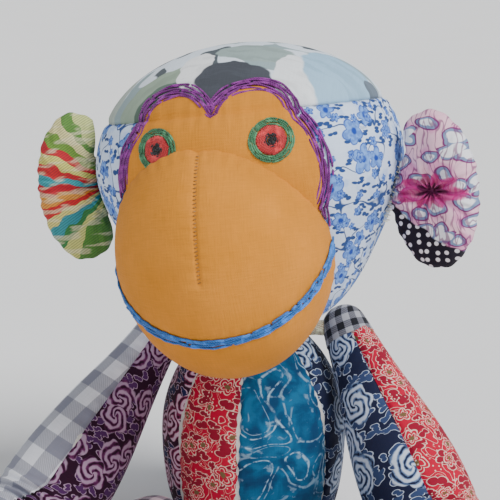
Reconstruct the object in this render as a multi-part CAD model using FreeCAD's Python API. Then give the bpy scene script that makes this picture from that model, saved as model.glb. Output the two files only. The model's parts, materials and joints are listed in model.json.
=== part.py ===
"""Seated patchwork toy monkey: sewn cotton panels over loose polyester stuffing, in millimetres.

+Z is up, the toy faces -Y, and +X is the toy's own left. The origin is the centre of the flat seat on the
surface that the toy sits on. Every cloth panel, every mass of stuffing and every run of thread is a solid of
its own. The limbs, head, ears and tail are sewn on, and each turns about its seam.
"""

import FreeCAD
import Part
import math
import os

from FreeCAD import Matrix, Placement, Rotation, Vector

# Cloth, thread and gaps
CLOTH = 1.2              # cotton with its turned seam allowance
STUFFING_GAP = 0.4       # between a panel and the stuffing behind it
THREAD_HEIGHT = 1.0      # how far embroidery stands off the cloth
SEAM_CLEARANCE = 0.4     # between two bodies that meet at a sewn joint
JOINT_SLACK = 0.5        # between a ball end and the socket that it turns in

# Torso: a pear of upright strips, given as (radius, height) on its outer face
SEAT_RADIUS = 36.0
TORSO_HEIGHT = 133.0
TORSO_TOP_RADIUS = 19.0
HIP_RADIUS = 55.5
TORSO_PROFILE = [
    (SEAT_RADIUS, 0.0),
    (0.83 * HIP_RADIUS, 0.08 * TORSO_HEIGHT),
    (0.97 * HIP_RADIUS, 0.25 * TORSO_HEIGHT),
    (HIP_RADIUS, 0.42 * TORSO_HEIGHT),
    (0.97 * HIP_RADIUS, 0.60 * TORSO_HEIGHT),
    (0.82 * HIP_RADIUS, 0.78 * TORSO_HEIGHT),
    (0.59 * HIP_RADIUS, 0.91 * TORSO_HEIGHT),
    (TORSO_TOP_RADIUS, TORSO_HEIGHT),
]
# Where each upright strip of the torso starts and ends, in degrees from the front towards the toy's left
TORSO_STRIPS = {
    "torso_front_red": (-54, -10),
    "torso_front_teal": (-10, 51),
    "torso_side_navy": (51, 118),
    "torso_back_left": (118, 182),
    "torso_back_right": (182, 246),
    "torso_side_maroon": (246, 306),
}

# Neck: a stuffed plug that the head is sewn round
HEAD_HALF_WIDTH = 84.0
NECK_PIVOT = Vector(0, -4, TORSO_HEIGHT + 7)
NECK_RADIUS = 0.215 * HEAD_HALF_WIDTH

# Head: widest above the middle and narrowing to the neck, with (radius, height) as parts of its half width.
# The muzzle is a smaller egg sewn on its front. Both are in the head's own frame.
HEAD_CENTRE = Vector(0, -28, NECK_PIVOT.z + 0.857 * HEAD_HALF_WIDTH)
HEAD_PROFILE = [
    (0.0, -0.87),
    (0.30, -0.83),
    (0.56, -0.66),
    (0.81, -0.28),
    (1.0, 0.28),
    (0.80, 0.74),
    (0.41, 0.96),
    (0.0, 1.02),
]
HEAD_TURN = -12.0        # at rest the toy looks to its own right
HEAD_TIP = -6.0          # and a little up
HEAD_TILT = -7.0         # with its left ear the higher one
CROWN_SEAM_HEIGHT = 0.595 * HEAD_HALF_WIDTH
MUZZLE_HALF_WIDTH = 0.661 * HEAD_HALF_WIDTH
MUZZLE_HALF_DEPTH = 0.702 * HEAD_HALF_WIDTH
MUZZLE_HALF_HEIGHT = 0.786 * HEAD_HALF_WIDTH
MUZZLE_CENTRE = Vector(-0.071, -0.571, -0.226) * HEAD_HALF_WIDTH
FACE_HALF_WIDTH = 0.601 * HEAD_HALF_WIDTH
FACE_LOBE_HEIGHT = 0.738 * HEAD_HALF_WIDTH
FACE_NOTCH_HEIGHT = 0.607 * HEAD_HALF_WIDTH
FACE_CHIN_DEPTH = 0.714 * HEAD_HALF_WIDTH
OUTLINE_WIDTH = 0.077 * HEAD_HALF_WIDTH

# Embroidery
EYE_AZIMUTH = 20.0
EYE_ELEVATION = 23.0
EYE_RADIUS = 0.121 * HEAD_HALF_WIDTH
IRIS_RADIUS = 0.69 * EYE_RADIUS
PUPIL_RADIUS = 0.29 * EYE_RADIUS
SMILE_DROP = 42.0        # the smile's plane, down from level
SMILE_OFFSET = 4.0       # and how far it lies above the muzzle's centre, square to that plane
SMILE_WIDTH = 5.5
DART_END = -8.0          # the muzzle dart's lower end, from the muzzle's centre
DART_WIDTH = 1.6

# Ears
EAR_HALF_WIDTH = 0.274 * HEAD_HALF_WIDTH
EAR_HALF_THICKNESS = 14.0
EAR_HALF_HEIGHT = 0.488 * HEAD_HALF_WIDTH
EAR_BASE_RADIUS = 0.952 * HEAD_HALF_WIDTH    # where the flat of an ear starts, from the head's axis
EAR_REACH = {"left": 0.25 * HEAD_HALF_WIDTH, "right": 0.179 * HEAD_HALF_WIDTH}    # on to the ear's centre
EAR_AZIMUTH = {"left": 78, "right": 80}
EAR_HEIGHT = {"left": 0.0, "right": 0.19 * HEAD_HALF_WIDTH}
EAR_HEAD_GAP = 4.5
EAR_ROOT_RADIUS = 3.0
EAR_ROOT_LENGTH = 0.357 * HEAD_HALF_WIDTH

# Arms, with stations along the arm from the shoulder pivot and then from the elbow pivot
SHOULDER = Vector(54.5, 0, 0.955 * TORSO_HEIGHT)
SHOULDER_RADIUS = 14.0
STITCHING_RADIUS = 5.0
SHOULDER_PATCH = 6.0     # how far past the pivot the patch over the left shoulder reaches
ARM_RADIUS = 30.5
UPPER_ARM_LENGTH = TORSO_HEIGHT - 1.0   # an arm as long as the torso, so that its elbow comes down to the floor
ARM_OUTWARD = {"left": 20, "right": 32}
ELBOW_HEIGHT = ARM_RADIUS + 1.5
ELBOW_BALL_RADIUS = 0.91 * ARM_RADIUS
ELBOW_SETBACK = 0.54 * ARM_RADIUS
WRIST_RADIUS = 19.5
WRIST_STATION = 66.0
HAND_RADIUS = 23.0
HAND_STATION = 92.0
HAND_END = 116.0
FOREARM_OUTWARD = {"left": 14, "right": 28}

# Legs, with stations along the leg from the hip pivot and then from the knee pivot
HIP_AZIMUTH = {"left": 36, "right": 62}
HIP_HEIGHT = 9.0
HIP_TAB_THICKNESS = 3.0
HIP_TAB_WIDTH = 14.0
HIP_TAB_LENGTH = 30.0
LEG_SPLAY = {"left": 6, "right": 20}
LEG_RADIUS = 25.0
THIGH_START = 12.0
THIGH_LENGTH = 106.0
KNEE_BALL_RADIUS = 0.91 * LEG_RADIUS
KNEE_SETBACK = 0.43 * LEG_RADIUS
SHIN_END_RADIUS = 19.5
SHIN_LENGTH = 80.0
FOOT_HALF_WIDTH = 24.0
FOOT_HALF_DEPTH = 21.0
FOOT_HALF_HEIGHT = 37.0

# Tail
TAIL_RADIUS = 11.0
TAIL_STRAIGHT = 34.0
TAIL_BEND_RADIUS = 46.0
TAIL_BEND_ANGLE = 120.0
TAIL_TIP_LENGTH = 26.0

SIDES = {"left": 1, "right": -1}
X_AXIS = Vector(1, 0, 0)
Y_AXIS = Vector(0, 1, 0)
Z_AXIS = Vector(0, 0, 1)
FAR = 400.0


def azimuth_direction(azimuth, elevation=0.0):
    """The direction at this many degrees from the front towards the toy's left, and up."""
    a, e = math.radians(azimuth), math.radians(elevation)
    return Vector(math.sin(a) * math.cos(e), -math.cos(a) * math.cos(e), math.sin(e))


def spline(points):
    """A smooth curve in the XZ plane through (radius, height) points."""
    curve = Part.BSplineCurve()
    curve.interpolate([Vector(r, 0, z) for r, z in points])
    return curve


def inset_profile(points, inset):
    """The (radius, height) points of a profile moved inwards, square to the curve through them."""
    curve = spline(points)
    moved = []
    for r, z in points:
        tangent = curve.tangent(curve.parameter(Vector(r, 0, z)))[0]
        normal = Vector(tangent.z, 0, -tangent.x)
        moved.append((max(r - inset * normal.x, 0.05), z - inset * normal.z))
    return moved


def turned(points, degrees=360.0, inner=None):
    """A solid of revolution about +Z of a profile, or of the band between two profiles."""
    curve = spline(points)
    first, last = points[0], points[-1]
    if inner:
        other = [(r, z) for r, z in reversed(inner)]
        edges = [
            curve.toShape(),
            Part.makeLine(Vector(last[0], 0, last[1]), Vector(other[0][0], 0, other[0][1])),
            spline(other).toShape(),
            Part.makeLine(Vector(other[-1][0], 0, other[-1][1]), Vector(first[0], 0, first[1])),
        ]
    else:
        edges = [
            curve.toShape(),
            Part.makeLine(Vector(last[0], 0, last[1]), Vector(0, 0, last[1])),
            Part.makeLine(Vector(0, 0, last[1]), Vector(0, 0, first[1])),
            Part.makeLine(Vector(0, 0, first[1]), Vector(first[0], 0, first[1])),
        ]
    face = Part.Face(Part.Wire(edges))
    return face.revolve(Vector(0, 0, 0), Z_AXIS, degrees)


def pole_to_pole(points):
    """A smooth curve between two points on the Z axis, square to the axis at both."""
    below = (-points[1][0], points[1][1])
    above = (-points[-2][0], points[-2][1])
    curve = spline([below] + points + [above])
    first = curve.parameter(Vector(0, 0, points[0][1]))
    last = curve.parameter(Vector(0, 0, points[-1][1]))
    curve.segment(first, last)
    return curve


def head_form(inset):
    """The head as a solid, moved inwards by an inset, or outwards by a negative one."""
    points = [(r * HEAD_HALF_WIDTH, z * HEAD_HALF_WIDTH) for r, z in HEAD_PROFILE]
    curve = pole_to_pole(points)
    moved = [(0.0, points[0][1] + inset)]
    for r, z in points[1:-1]:
        tangent = curve.tangent(curve.parameter(Vector(r, 0, z)))[0]
        moved.append((r - inset * tangent.z, z + inset * tangent.x))
    moved.append((0.0, points[-1][1] - inset))
    outline = pole_to_pole(moved)
    axis = Part.makeLine(outline.value(outline.LastParameter), outline.value(outline.FirstParameter))
    return Part.Face(Part.Wire([outline.toShape(), axis])).revolve(Vector(0, 0, 0), Z_AXIS, 360)


def muzzle_form(inset):
    """The muzzle's egg as a solid, moved inwards by an inset, with its poles at the front and back."""
    form = ellipsoid(MUZZLE_HALF_WIDTH - inset, MUZZLE_HALF_HEIGHT - inset, MUZZLE_HALF_DEPTH - inset)
    return placed(form, Placement(MUZZLE_CENTRE, Rotation(X_AXIS, 90)))


def ball(radius, centre=None):
    """A sphere."""
    return Part.makeSphere(radius, centre or Vector(0, 0, 0))


def ellipsoid(half_x, half_y, half_z):
    """A ball stretched to three half sizes, with its poles at the top and bottom."""
    stretch = Matrix()
    stretch.scale(half_x, half_y, half_z)
    return Part.makeSphere(1.0).transformGeometry(stretch)


def half_space(normal, offset=0.0):
    """A large box that fills the side of a plane that its normal points to."""
    box = Part.makeBox(FAR, FAR, FAR, Vector(-FAR / 2, -FAR / 2, 0))
    box.Placement = Placement(normal * offset, Rotation(Z_AXIS, normal))
    return box


def with_split_faces(shape, normal):
    """The same shape with its round faces split by a plane through the origin, so that none closes on itself."""
    ahead = half_space(normal)
    return shape.common(ahead).fuse(shape.cut(ahead))


def rod(radius, start, end):
    """A round bar between two points."""
    return Part.makeCylinder(radius, (end - start).Length, start, end - start)


def placed(shape, placement):
    """A copy of the shape, moved."""
    copy = shape.copy()
    copy.Placement = placement.multiply(copy.Placement)
    return copy


def solids(shape):
    """The shape as one solid, or as a compound of its solids."""
    found = shape.Solids
    return found[0] if len(found) == 1 else Part.makeCompound(found)


def along(direction, start, face_towards=Z_AXIS):
    """The placement that lays +Z along a direction from a start, with +X turned towards the given side."""
    z = Vector(direction).normalize()
    y = z.cross(face_towards).normalize()
    x = y.cross(z)
    matrix = Matrix(x.x, y.x, z.x, start.x, x.y, y.y, z.y, start.y, x.z, y.z, z.z, start.z, 0, 0, 0, 1)
    return Placement(matrix)


def torso_radius(height):
    """The torso's outer radius at a height."""
    curve = spline(TORSO_PROFILE)
    cut = curve.intersectCC(Part.LineSegment(Vector(0, 0, height), Vector(FAR, 0, height)))
    return cut[0].X


def clear_reach(height, radius):
    """How far from the torso's axis a ball of this radius just clears the torso at this height."""
    wide = radius + SEAM_CLEARANCE
    reach = 0.0
    for step in range(-8, 9):
        rise = wide * step / 9
        if 0 < height + rise < TORSO_HEIGHT:
            reach = max(reach, torso_radius(height + rise) + math.sqrt(wide * wide - rise * rise))
    return reach


# ---------------------------------------------------------------- places of the joints

def shoulder_point(side):
    """The pivot at the top of an arm."""
    return Vector(SIDES[side] * SHOULDER.x, SHOULDER.y, SHOULDER.z)


def upper_arm_direction(side):
    """Down the upper arm, which slopes outwards and forwards until the elbow is just off the floor."""
    outward = math.radians(ARM_OUTWARD[side])
    drop = (SHOULDER.z - ELBOW_HEIGHT) / UPPER_ARM_LENGTH
    return Vector(SIDES[side] * math.sin(outward), -math.sqrt(math.cos(outward) ** 2 - drop * drop), -drop)


def elbow_point(side):
    """The pivot between the upper arm and the forearm."""
    return shoulder_point(side) + upper_arm_direction(side) * UPPER_ARM_LENGTH


def forearm_direction(side):
    """Along the forearm, which slopes down until the hand lies on the floor."""
    drop = (ELBOW_HEIGHT - HAND_RADIUS) / HAND_STATION
    level = math.sqrt(1 - drop * drop)
    heading = azimuth_direction(SIDES[side] * FOREARM_OUTWARD[side])
    return Vector(heading.x * level, heading.y * level, -drop)


def leg_direction(side):
    """Along a leg, which lies on the floor."""
    return azimuth_direction(SIDES[side] * LEG_SPLAY[side])


def hip_point(side):
    """The hinge at the flat top of a leg, just clear of the torso."""
    skew = math.radians(HIP_AZIMUTH[side] - LEG_SPLAY[side])
    reach = clear_reach(HIP_HEIGHT, HIP_TAB_THICKNESS / 2) + HIP_TAB_WIDTH / 2 * math.sin(skew)
    place = azimuth_direction(SIDES[side] * HIP_AZIMUTH[side]) * reach
    return Vector(place.x, place.y, HIP_HEIGHT)


def leg_start(side):
    """The point on the leg's centre line level with the hip."""
    place = hip_point(side)
    return Vector(place.x, place.y, LEG_RADIUS)


def knee_point(side):
    """The pivot between the thigh and the shin."""
    return leg_start(side) + leg_direction(side) * THIGH_LENGTH


def tail_pivot():
    """The pivot where the tail meets the back of the torso."""
    return Vector(0, clear_reach(TAIL_RADIUS, TAIL_RADIUS), TAIL_RADIUS)


def head_placement():
    """The head's frame in the toy's."""
    turn = Rotation(Z_AXIS, HEAD_TURN)
    tip = Rotation(X_AXIS, HEAD_TIP)
    tilt = Rotation(Y_AXIS, HEAD_TILT)
    return Placement(HEAD_CENTRE, turn.multiply(tip).multiply(tilt))


def ear_placement(side):
    """An ear's frame in the head's: its origin on the head and +X straight out."""
    heading = SIDES[side] * EAR_AZIMUTH[side] - 90
    base = azimuth_direction(SIDES[side] * EAR_AZIMUTH[side]) * EAR_BASE_RADIUS
    return Placement(base + Z_AXIS * EAR_HEIGHT[side], Rotation(Z_AXIS, heading))


# ---------------------------------------------------------------- the sewn forms

def torso_pieces():
    """The upright strips, the round seat piece and the stuffing."""
    pieces = {}
    inner = inset_profile(TORSO_PROFILE, CLOTH)
    for name, (start, end) in TORSO_STRIPS.items():
        strip = turned(TORSO_PROFILE, end - start, inner)
        strip.Placement = Placement(Vector(0, 0, 0), Rotation(Z_AXIS, start - 90))
        pieces[name] = strip
    core = inset_profile(TORSO_PROFILE, CLOTH + STUFFING_GAP)
    core[0] = (core[0][0], CLOTH + STUFFING_GAP)
    core[-1] = (core[-1][0], TORSO_HEIGHT - CLOTH - STUFFING_GAP)
    pieces["torso_stuffing"] = turned(core)
    pieces["torso_seat"] = Part.makeCylinder(inner[0][0], CLOTH)
    pieces["torso_top"] = Part.makeCylinder(inner[-1][0] - SEAM_CLEARANCE, CLOTH, Vector(0, 0, TORSO_HEIGHT - CLOTH))
    return pieces


def neck_pieces():
    """The stuffed plug between the torso and the head."""
    plug = ball(NECK_RADIUS, NECK_PIVOT).common(half_space(Z_AXIS, TORSO_HEIGHT + SEAM_CLEARANCE))
    return {"neck_plug": solids(plug)}


def face_prism(margin):
    """The heart-topped outline of the face as a prism through the front of the head, grown by a margin."""
    half, lobe, notch = FACE_HALF_WIDTH + margin, FACE_LOBE_HEIGHT + margin, FACE_NOTCH_HEIGHT + margin
    chin = FACE_CHIN_DEPTH + margin
    edges = []
    for side in (1, -1):
        cheek = Vector(side * 0.92 * half, 0, 0)
        temple = Vector(side * 0.80 * half, 0, 0.73 * lobe)
        edges.append(Part.Arc(cheek, Vector(side * half, 0, 0.37 * lobe), temple).toShape())
        edges.append(Part.Arc(temple, Vector(side * 0.37 * half, 0, lobe), Vector(0, 0, notch)).toShape())
    edges.append(
        Part.Arc(Vector(0.92 * half, 0, 0), Vector(0, 0, -chin), Vector(-0.92 * half, 0, 0)).toShape()
    )
    outline = Part.Wire(Part.__sortEdges__(edges))
    return Part.Face(outline).extrude(Vector(0, -FAR / 2, 0))


def eye_ring(side, outer, inner):
    """A disc or ring of thread where an eye is."""
    direction = azimuth_direction(side * EYE_AZIMUTH, EYE_ELEVATION)
    ring = head_form(-THREAD_HEIGHT).cut(head_form(0)).common(rod(outer, Vector(0, 0, 0), direction * FAR / 2))
    if inner:
        ring = ring.cut(rod(inner, Vector(0, 0, 0), direction * FAR / 2))
    return solids(ring)


def slab(normal, centre, width):
    """The space between two planes square to a normal."""
    middle = centre.dot(normal)
    return half_space(normal, middle - width / 2).cut(half_space(normal, middle + width / 2))


def head_pieces():
    """The crown, sides, face and muzzle, their stuffing and their embroidery, in the head's own frame."""
    skull = head_form(0)
    shell = skull.cut(head_form(CLOTH))
    face = face_prism(0.0)
    above = half_space(Z_AXIS, CROWN_SEAM_HEIGHT)
    left = half_space(X_AXIS)
    rest = shell.cut(face)
    sides = rest.cut(above)
    pieces = {
        "head_crown": rest.common(above),
        "head_side_left": sides.common(left),
        "head_side_right": sides.cut(left),
        "face_panel": shell.common(face),
        "head_stuffing": with_split_faces(head_form(CLOTH + STUFFING_GAP), X_AXIS),
        "muzzle_panel": muzzle_form(0).cut(muzzle_form(CLOTH)).cut(skull),
        "muzzle_stuffing": muzzle_form(CLOTH + STUFFING_GAP).cut(head_form(-STUFFING_GAP)),
    }
    skull_thread = head_form(-THREAD_HEIGHT)
    beside_muzzle = muzzle_form(-STUFFING_GAP)
    outline = skull_thread.cut(skull).common(face_prism(OUTLINE_WIDTH / 2)).cut(face_prism(-OUTLINE_WIDTH / 2))
    outline = outline.cut(beside_muzzle).common(half_space(Z_AXIS, MUZZLE_CENTRE.z))
    pieces["face_outline_thread"] = outline
    rings = {
        "eye_green_thread": (EYE_RADIUS, IRIS_RADIUS),
        "eye_red_thread": (IRIS_RADIUS, PUPIL_RADIUS),
        "eye_black_thread": (PUPIL_RADIUS, 0.0),
    }
    for name, (outer, inner) in rings.items():
        pair = [eye_ring(towards, outer, inner) for towards in SIDES.values()]
        pieces[name] = Part.makeCompound(pair).cut(beside_muzzle)
    muzzle_thread = muzzle_form(-THREAD_HEIGHT).cut(muzzle_form(0)).cut(head_form(-THREAD_HEIGHT - STUFFING_GAP))
    up_and_forward = azimuth_direction(0, 90 - SMILE_DROP)
    smile_plane = MUZZLE_CENTRE + up_and_forward * SMILE_OFFSET
    pieces["smile_thread"] = muzzle_thread.common(slab(up_and_forward, smile_plane, SMILE_WIDTH))
    dart = muzzle_thread.common(slab(X_AXIS, MUZZLE_CENTRE, DART_WIDTH))
    pieces["muzzle_dart_thread"] = dart.common(half_space(Z_AXIS, MUZZLE_CENTRE.z + DART_END))
    return pieces


def ear_pieces(side):
    """The front and back panels of an ear and its stuffing, in the head's own frame."""
    place = ear_placement(side)
    centre = Placement(X_AXIS * EAR_REACH[side], Rotation())
    head_here = placed(head_form(-EAR_HEAD_GAP), place.inverse())
    deeper_head = placed(head_form(-EAR_HEAD_GAP - CLOTH), place.inverse())
    deepest_head = placed(head_form(-EAR_HEAD_GAP - CLOTH - STUFFING_GAP), place.inverse())

    def form(inset):
        return placed(
            ellipsoid(EAR_HALF_WIDTH - inset, EAR_HALF_THICKNESS - inset, EAR_HALF_HEIGHT - inset), centre
        )

    cloth = form(0).cut(head_here).cut(form(CLOTH).cut(deeper_head))
    front = half_space(Y_AXIS * -SIDES[side])
    pivot, axis = ear_hinge(side)
    root = rod(EAR_ROOT_RADIUS, pivot - axis * EAR_ROOT_LENGTH / 2, pivot + axis * EAR_ROOT_LENGTH / 2)
    bed = rod(EAR_ROOT_RADIUS + STUFFING_GAP, pivot - axis * EAR_HALF_HEIGHT, pivot + axis * EAR_HALF_HEIGHT)
    pieces = {
        f"{side}_ear_front": cloth.common(front).cut(root),
        f"{side}_ear_back": cloth.cut(front).fuse(root),
        f"{side}_ear_stuffing": with_split_faces(form(CLOTH + STUFFING_GAP).cut(deepest_head).cut(bed), Y_AXIS),
    }
    return {name: placed(shape, place) for name, shape in pieces.items()}


def ear_hinge(side):
    """A point on the ear's seam, and the seam's direction along the head, in the ear's own frame."""
    skin = head_form(-SEAM_CLEARANCE - EAR_ROOT_RADIUS)
    height = EAR_HEIGHT[side]
    ends = []
    for rise in (-EAR_ROOT_LENGTH / 2, EAR_ROOT_LENGTH / 2):
        line = Part.makeLine(Vector(0, 0, height + rise), Vector(FAR, 0, height + rise))
        ends.append(Vector(skin.common(line).BoundBox.XMax - EAR_BASE_RADIUS, 0, rise))
    middle = skin.common(Part.makeLine(Vector(0, 0, height), Vector(FAR, 0, height))).BoundBox.XMax
    chord = (ends[0] + ends[1]) / 2
    lift = max(middle - EAR_BASE_RADIUS - chord.x, 0.0)
    return chord + X_AXIS * lift, (ends[1] - ends[0]).normalize()


def tube_profile(stations, inset):
    """A limb's profile, inset square to its side, as (radius, distance along the limb)."""
    return inset_profile(stations, inset) if inset else list(stations)


def upper_arm_stations():
    """The upper arm's outer profile, from just below the shoulder ball to the elbow."""
    return [
        (0.99 * SHOULDER_RADIUS, 0.0),
        (0.62 * ARM_RADIUS, 0.25 * UPPER_ARM_LENGTH),
        (0.84 * ARM_RADIUS, 0.50 * UPPER_ARM_LENGTH),
        (0.98 * ARM_RADIUS, 0.72 * UPPER_ARM_LENGTH),
        (0.99 * ARM_RADIUS, UPPER_ARM_LENGTH - ELBOW_SETBACK),
    ]


def forearm_stations():
    """The forearm and hand's outer profile, from below the elbow ball to the end of the hand."""
    return [
        (0.96 * ARM_RADIUS, ELBOW_SETBACK),
        (0.85 * ARM_RADIUS, 0.55 * WRIST_STATION),
        (WRIST_RADIUS, WRIST_STATION),
        (HAND_RADIUS, HAND_STATION),
        (0.68 * HAND_RADIUS, 0.955 * HAND_END),
        (1.0, HAND_END),
    ]


def thigh_stations():
    """The thigh's outer profile, from its tapered top to the knee."""
    return [
        (1.0, THIGH_START),
        (0.50 * LEG_RADIUS, THIGH_START + 4.0),
        (0.78 * LEG_RADIUS, THIGH_START + 14.0),
        (0.96 * LEG_RADIUS, THIGH_START + 34.0),
        (LEG_RADIUS, THIGH_START + 56.0),
        (0.96 * LEG_RADIUS, THIGH_LENGTH - KNEE_SETBACK),
    ]


def shin_stations():
    """The shin's outer profile, from below the knee ball to the ankle."""
    return [
        (0.94 * LEG_RADIUS, KNEE_SETBACK),
        (0.85 * LEG_RADIUS, 0.55 * SHIN_LENGTH),
        (SHIN_END_RADIUS, SHIN_LENGTH),
    ]


def two_halves(shape, names):
    """A tube of cloth as its two long strips, split along the limb."""
    outside = half_space(X_AXIS)
    return {names[0]: solids(shape.common(outside)), names[1]: solids(shape.cut(outside))}


def upper_arm_pieces(side):
    """The outer and inner strips of the upper arm and its stuffing, along +Z from the shoulder."""
    socket = Vector(0, 0, UPPER_ARM_LENGTH)

    def form(inset):
        tube = turned(tube_profile(upper_arm_stations(), inset))
        return tube.fuse(ball(SHOULDER_RADIUS - inset))

    hollow = ball(ELBOW_BALL_RADIUS + JOINT_SLACK, socket)
    cloth = form(0).cut(form(CLOTH)).cut(hollow)
    pieces = {}
    if side == "left":
        below_patch = half_space(Z_AXIS, SHOULDER_PATCH)
        pieces["left_shoulder_patch"] = cloth.cut(below_patch)
        cloth = cloth.common(below_patch)
    pieces.update(two_halves(cloth, (f"{side}_upper_arm_outer", f"{side}_upper_arm_inner")))
    pieces[f"{side}_upper_arm_stuffing"] = form(CLOTH + STUFFING_GAP).cut(
        ball(ELBOW_BALL_RADIUS + JOINT_SLACK + STUFFING_GAP, socket)
    )
    return pieces


def forearm_pieces(side):
    """The outer and inner strips of the forearm, the hand and their stuffing, along +Z from the elbow."""

    def form(inset):
        tube = turned(tube_profile(forearm_stations(), inset))
        tube = tube.common(half_space(Z_AXIS, ELBOW_SETBACK + inset))
        return tube.fuse(ball(ELBOW_BALL_RADIUS - inset))

    cloth = form(0).cut(form(CLOTH))
    past_wrist = half_space(Z_AXIS, WRIST_STATION)
    pieces = two_halves(cloth.cut(past_wrist), (f"{side}_forearm_outer", f"{side}_forearm_inner"))
    pieces[f"{side}_hand"] = cloth.common(past_wrist)
    pieces[f"{side}_forearm_stuffing"] = form(CLOTH + STUFFING_GAP)
    return pieces


def thigh_pieces(side):
    """The upper and lower strips of the thigh and its stuffing, along +Z, with +X up and the hip tab below."""
    socket = Vector(0, 0, THIGH_LENGTH)
    tab_height = HIP_HEIGHT - LEG_RADIUS

    def form(inset):
        return turned(tube_profile(thigh_stations(), inset))

    hollow = ball(KNEE_BALL_RADIUS + JOINT_SLACK, socket)
    cloth = form(0).cut(form(CLOTH)).cut(hollow)
    upper, lower = f"{side}_thigh_top", f"{side}_thigh_bottom"
    pieces = two_halves(cloth, (upper, lower))
    half = HIP_TAB_THICKNESS / 2
    tab = Part.makeBox(
        HIP_TAB_THICKNESS, HIP_TAB_WIDTH, HIP_TAB_LENGTH, Vector(tab_height - half, -HIP_TAB_WIDTH / 2, 0)
    )
    roll = rod(
        half, Vector(tab_height, -HIP_TAB_WIDTH / 2, 0), Vector(tab_height, HIP_TAB_WIDTH / 2, 0)
    )
    pieces[lower] = solids(tab.fuse(roll).cut(form(0)).fuse(pieces[lower]))
    pieces[f"{side}_thigh_stuffing"] = form(CLOTH + STUFFING_GAP).cut(
        ball(KNEE_BALL_RADIUS + JOINT_SLACK + STUFFING_GAP, socket)
    )
    return pieces


def shin_pieces(side):
    """The shin's sleeve, the foot and their stuffing, along +Z from the knee, with +X up."""
    foot_place = Placement(
        Vector(FOOT_HALF_HEIGHT - LEG_RADIUS, 0, SHIN_LENGTH + 0.55 * FOOT_HALF_DEPTH), Rotation()
    )

    def shank(inset):
        tube = turned(tube_profile(shin_stations(), inset))
        tube = tube.common(half_space(Z_AXIS, KNEE_SETBACK + inset))
        return tube.fuse(ball(KNEE_BALL_RADIUS - inset))

    def foot(inset):
        form = ellipsoid(FOOT_HALF_HEIGHT - inset, FOOT_HALF_WIDTH - inset, FOOT_HALF_DEPTH - inset)
        return placed(form, foot_place)

    return {
        f"{side}_shin": shank(0).cut(shank(CLOTH)).cut(foot(0)),
        f"{side}_foot": foot(0).cut(foot(CLOTH)).cut(shank(0)),
        f"{side}_shin_stuffing": shank(CLOTH + STUFFING_GAP).fuse(foot(CLOTH + STUFFING_GAP)),
    }


def shoulder_pieces(side):
    """The short bundle of thread that holds an arm to the torso."""
    towards = SIDES[side]
    inner = torso_radius(SHOULDER.z - STITCHING_RADIUS) + SEAM_CLEARANCE
    outer = SHOULDER.x - SHOULDER_RADIUS - SEAM_CLEARANCE
    start = Vector(towards * inner, SHOULDER.y, SHOULDER.z)
    end = Vector(towards * outer, SHOULDER.y, SHOULDER.z)
    return {f"{side}_shoulder_stitching": rod(STITCHING_RADIUS, start, end)}


def tail_pieces():
    """The tail's sleeve and stuffing, curled on the floor behind the torso."""
    start = tail_pivot()
    turn = math.radians(TAIL_BEND_ANGLE)
    bend_start = start + Y_AXIS * TAIL_STRAIGHT
    centre = bend_start + X_AXIS * TAIL_BEND_RADIUS

    def on_bend(angle):
        return centre + Vector(-math.cos(angle), math.sin(angle), 0) * TAIL_BEND_RADIUS

    bend_end = on_bend(turn)
    tip = bend_end + Vector(math.sin(turn), math.cos(turn), 0) * TAIL_TIP_LENGTH
    path = Part.Wire(
        [
            Part.makeLine(start, bend_start),
            Part.Arc(bend_start, on_bend(turn / 2), bend_end).toShape(),
            Part.makeLine(bend_end, tip),
        ]
    )

    def form(inset):
        radius = TAIL_RADIUS - inset
        section = Part.Wire([Part.makeCircle(radius, start, Y_AXIS)])
        tube = path.makePipeShell([section], True, False)
        return tube.fuse([ball(radius, start), ball(radius, tip)])

    return {"tail_sleeve": form(0).cut(form(CLOTH)), "tail_stuffing": form(CLOTH + STUFFING_GAP)}


# ---------------------------------------------------------------- the whole toy

def limb_placements(side):
    """Where each limb's own frame lies in the toy's."""
    outward = X_AXIS * SIDES[side]
    return {
        upper_arm_pieces: along(upper_arm_direction(side), shoulder_point(side), outward),
        forearm_pieces: along(forearm_direction(side), elbow_point(side), outward),
        thigh_pieces: along(leg_direction(side), leg_start(side)),
        shin_pieces: along(leg_direction(side), knee_point(side)),
    }


def build():
    """Every node of the toy, by name."""
    pieces = {}
    pieces.update(torso_pieces())
    pieces.update(neck_pieces())
    head = head_placement()
    socket = ball(NECK_RADIUS + SEAM_CLEARANCE, NECK_PIVOT)
    for name, shape in head_pieces().items():
        pieces[name] = placed(shape, head)
        if name in ("head_stuffing", "head_side_left", "head_side_right"):
            pieces[name] = pieces[name].cut(socket)
    pieces.update(tail_pieces())
    for side in SIDES:
        for name, shape in ear_pieces(side).items():
            pieces[name] = placed(shape, head)
        for make, placement in limb_placements(side).items():
            for name, shape in make(side).items():
                pieces[name] = placed(shape, placement)
        pieces.update(shoulder_pieces(side))
    return {name: solids(shape) for name, shape in pieces.items()}


def main():
    """Writes one STEP file for each node."""
    os.makedirs("parts", exist_ok=True)
    for name, shape in build().items():
        if not shape.isValid() or not shape.Solids:
            raise ValueError(f"{name} is not a valid solid")
        shape.exportStep(f"parts/{name}.step")
        print(f"{name}: {len(shape.Solids)} solid(s), {shape.Volume / 1000:.2f} cm3")


if __name__ == "__main__":
    main()
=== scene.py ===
"""A seated patchwork monkey of printed cottons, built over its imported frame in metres."""

import json
import logging
import math
from dataclasses import dataclass, field
from enum import Enum

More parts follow.
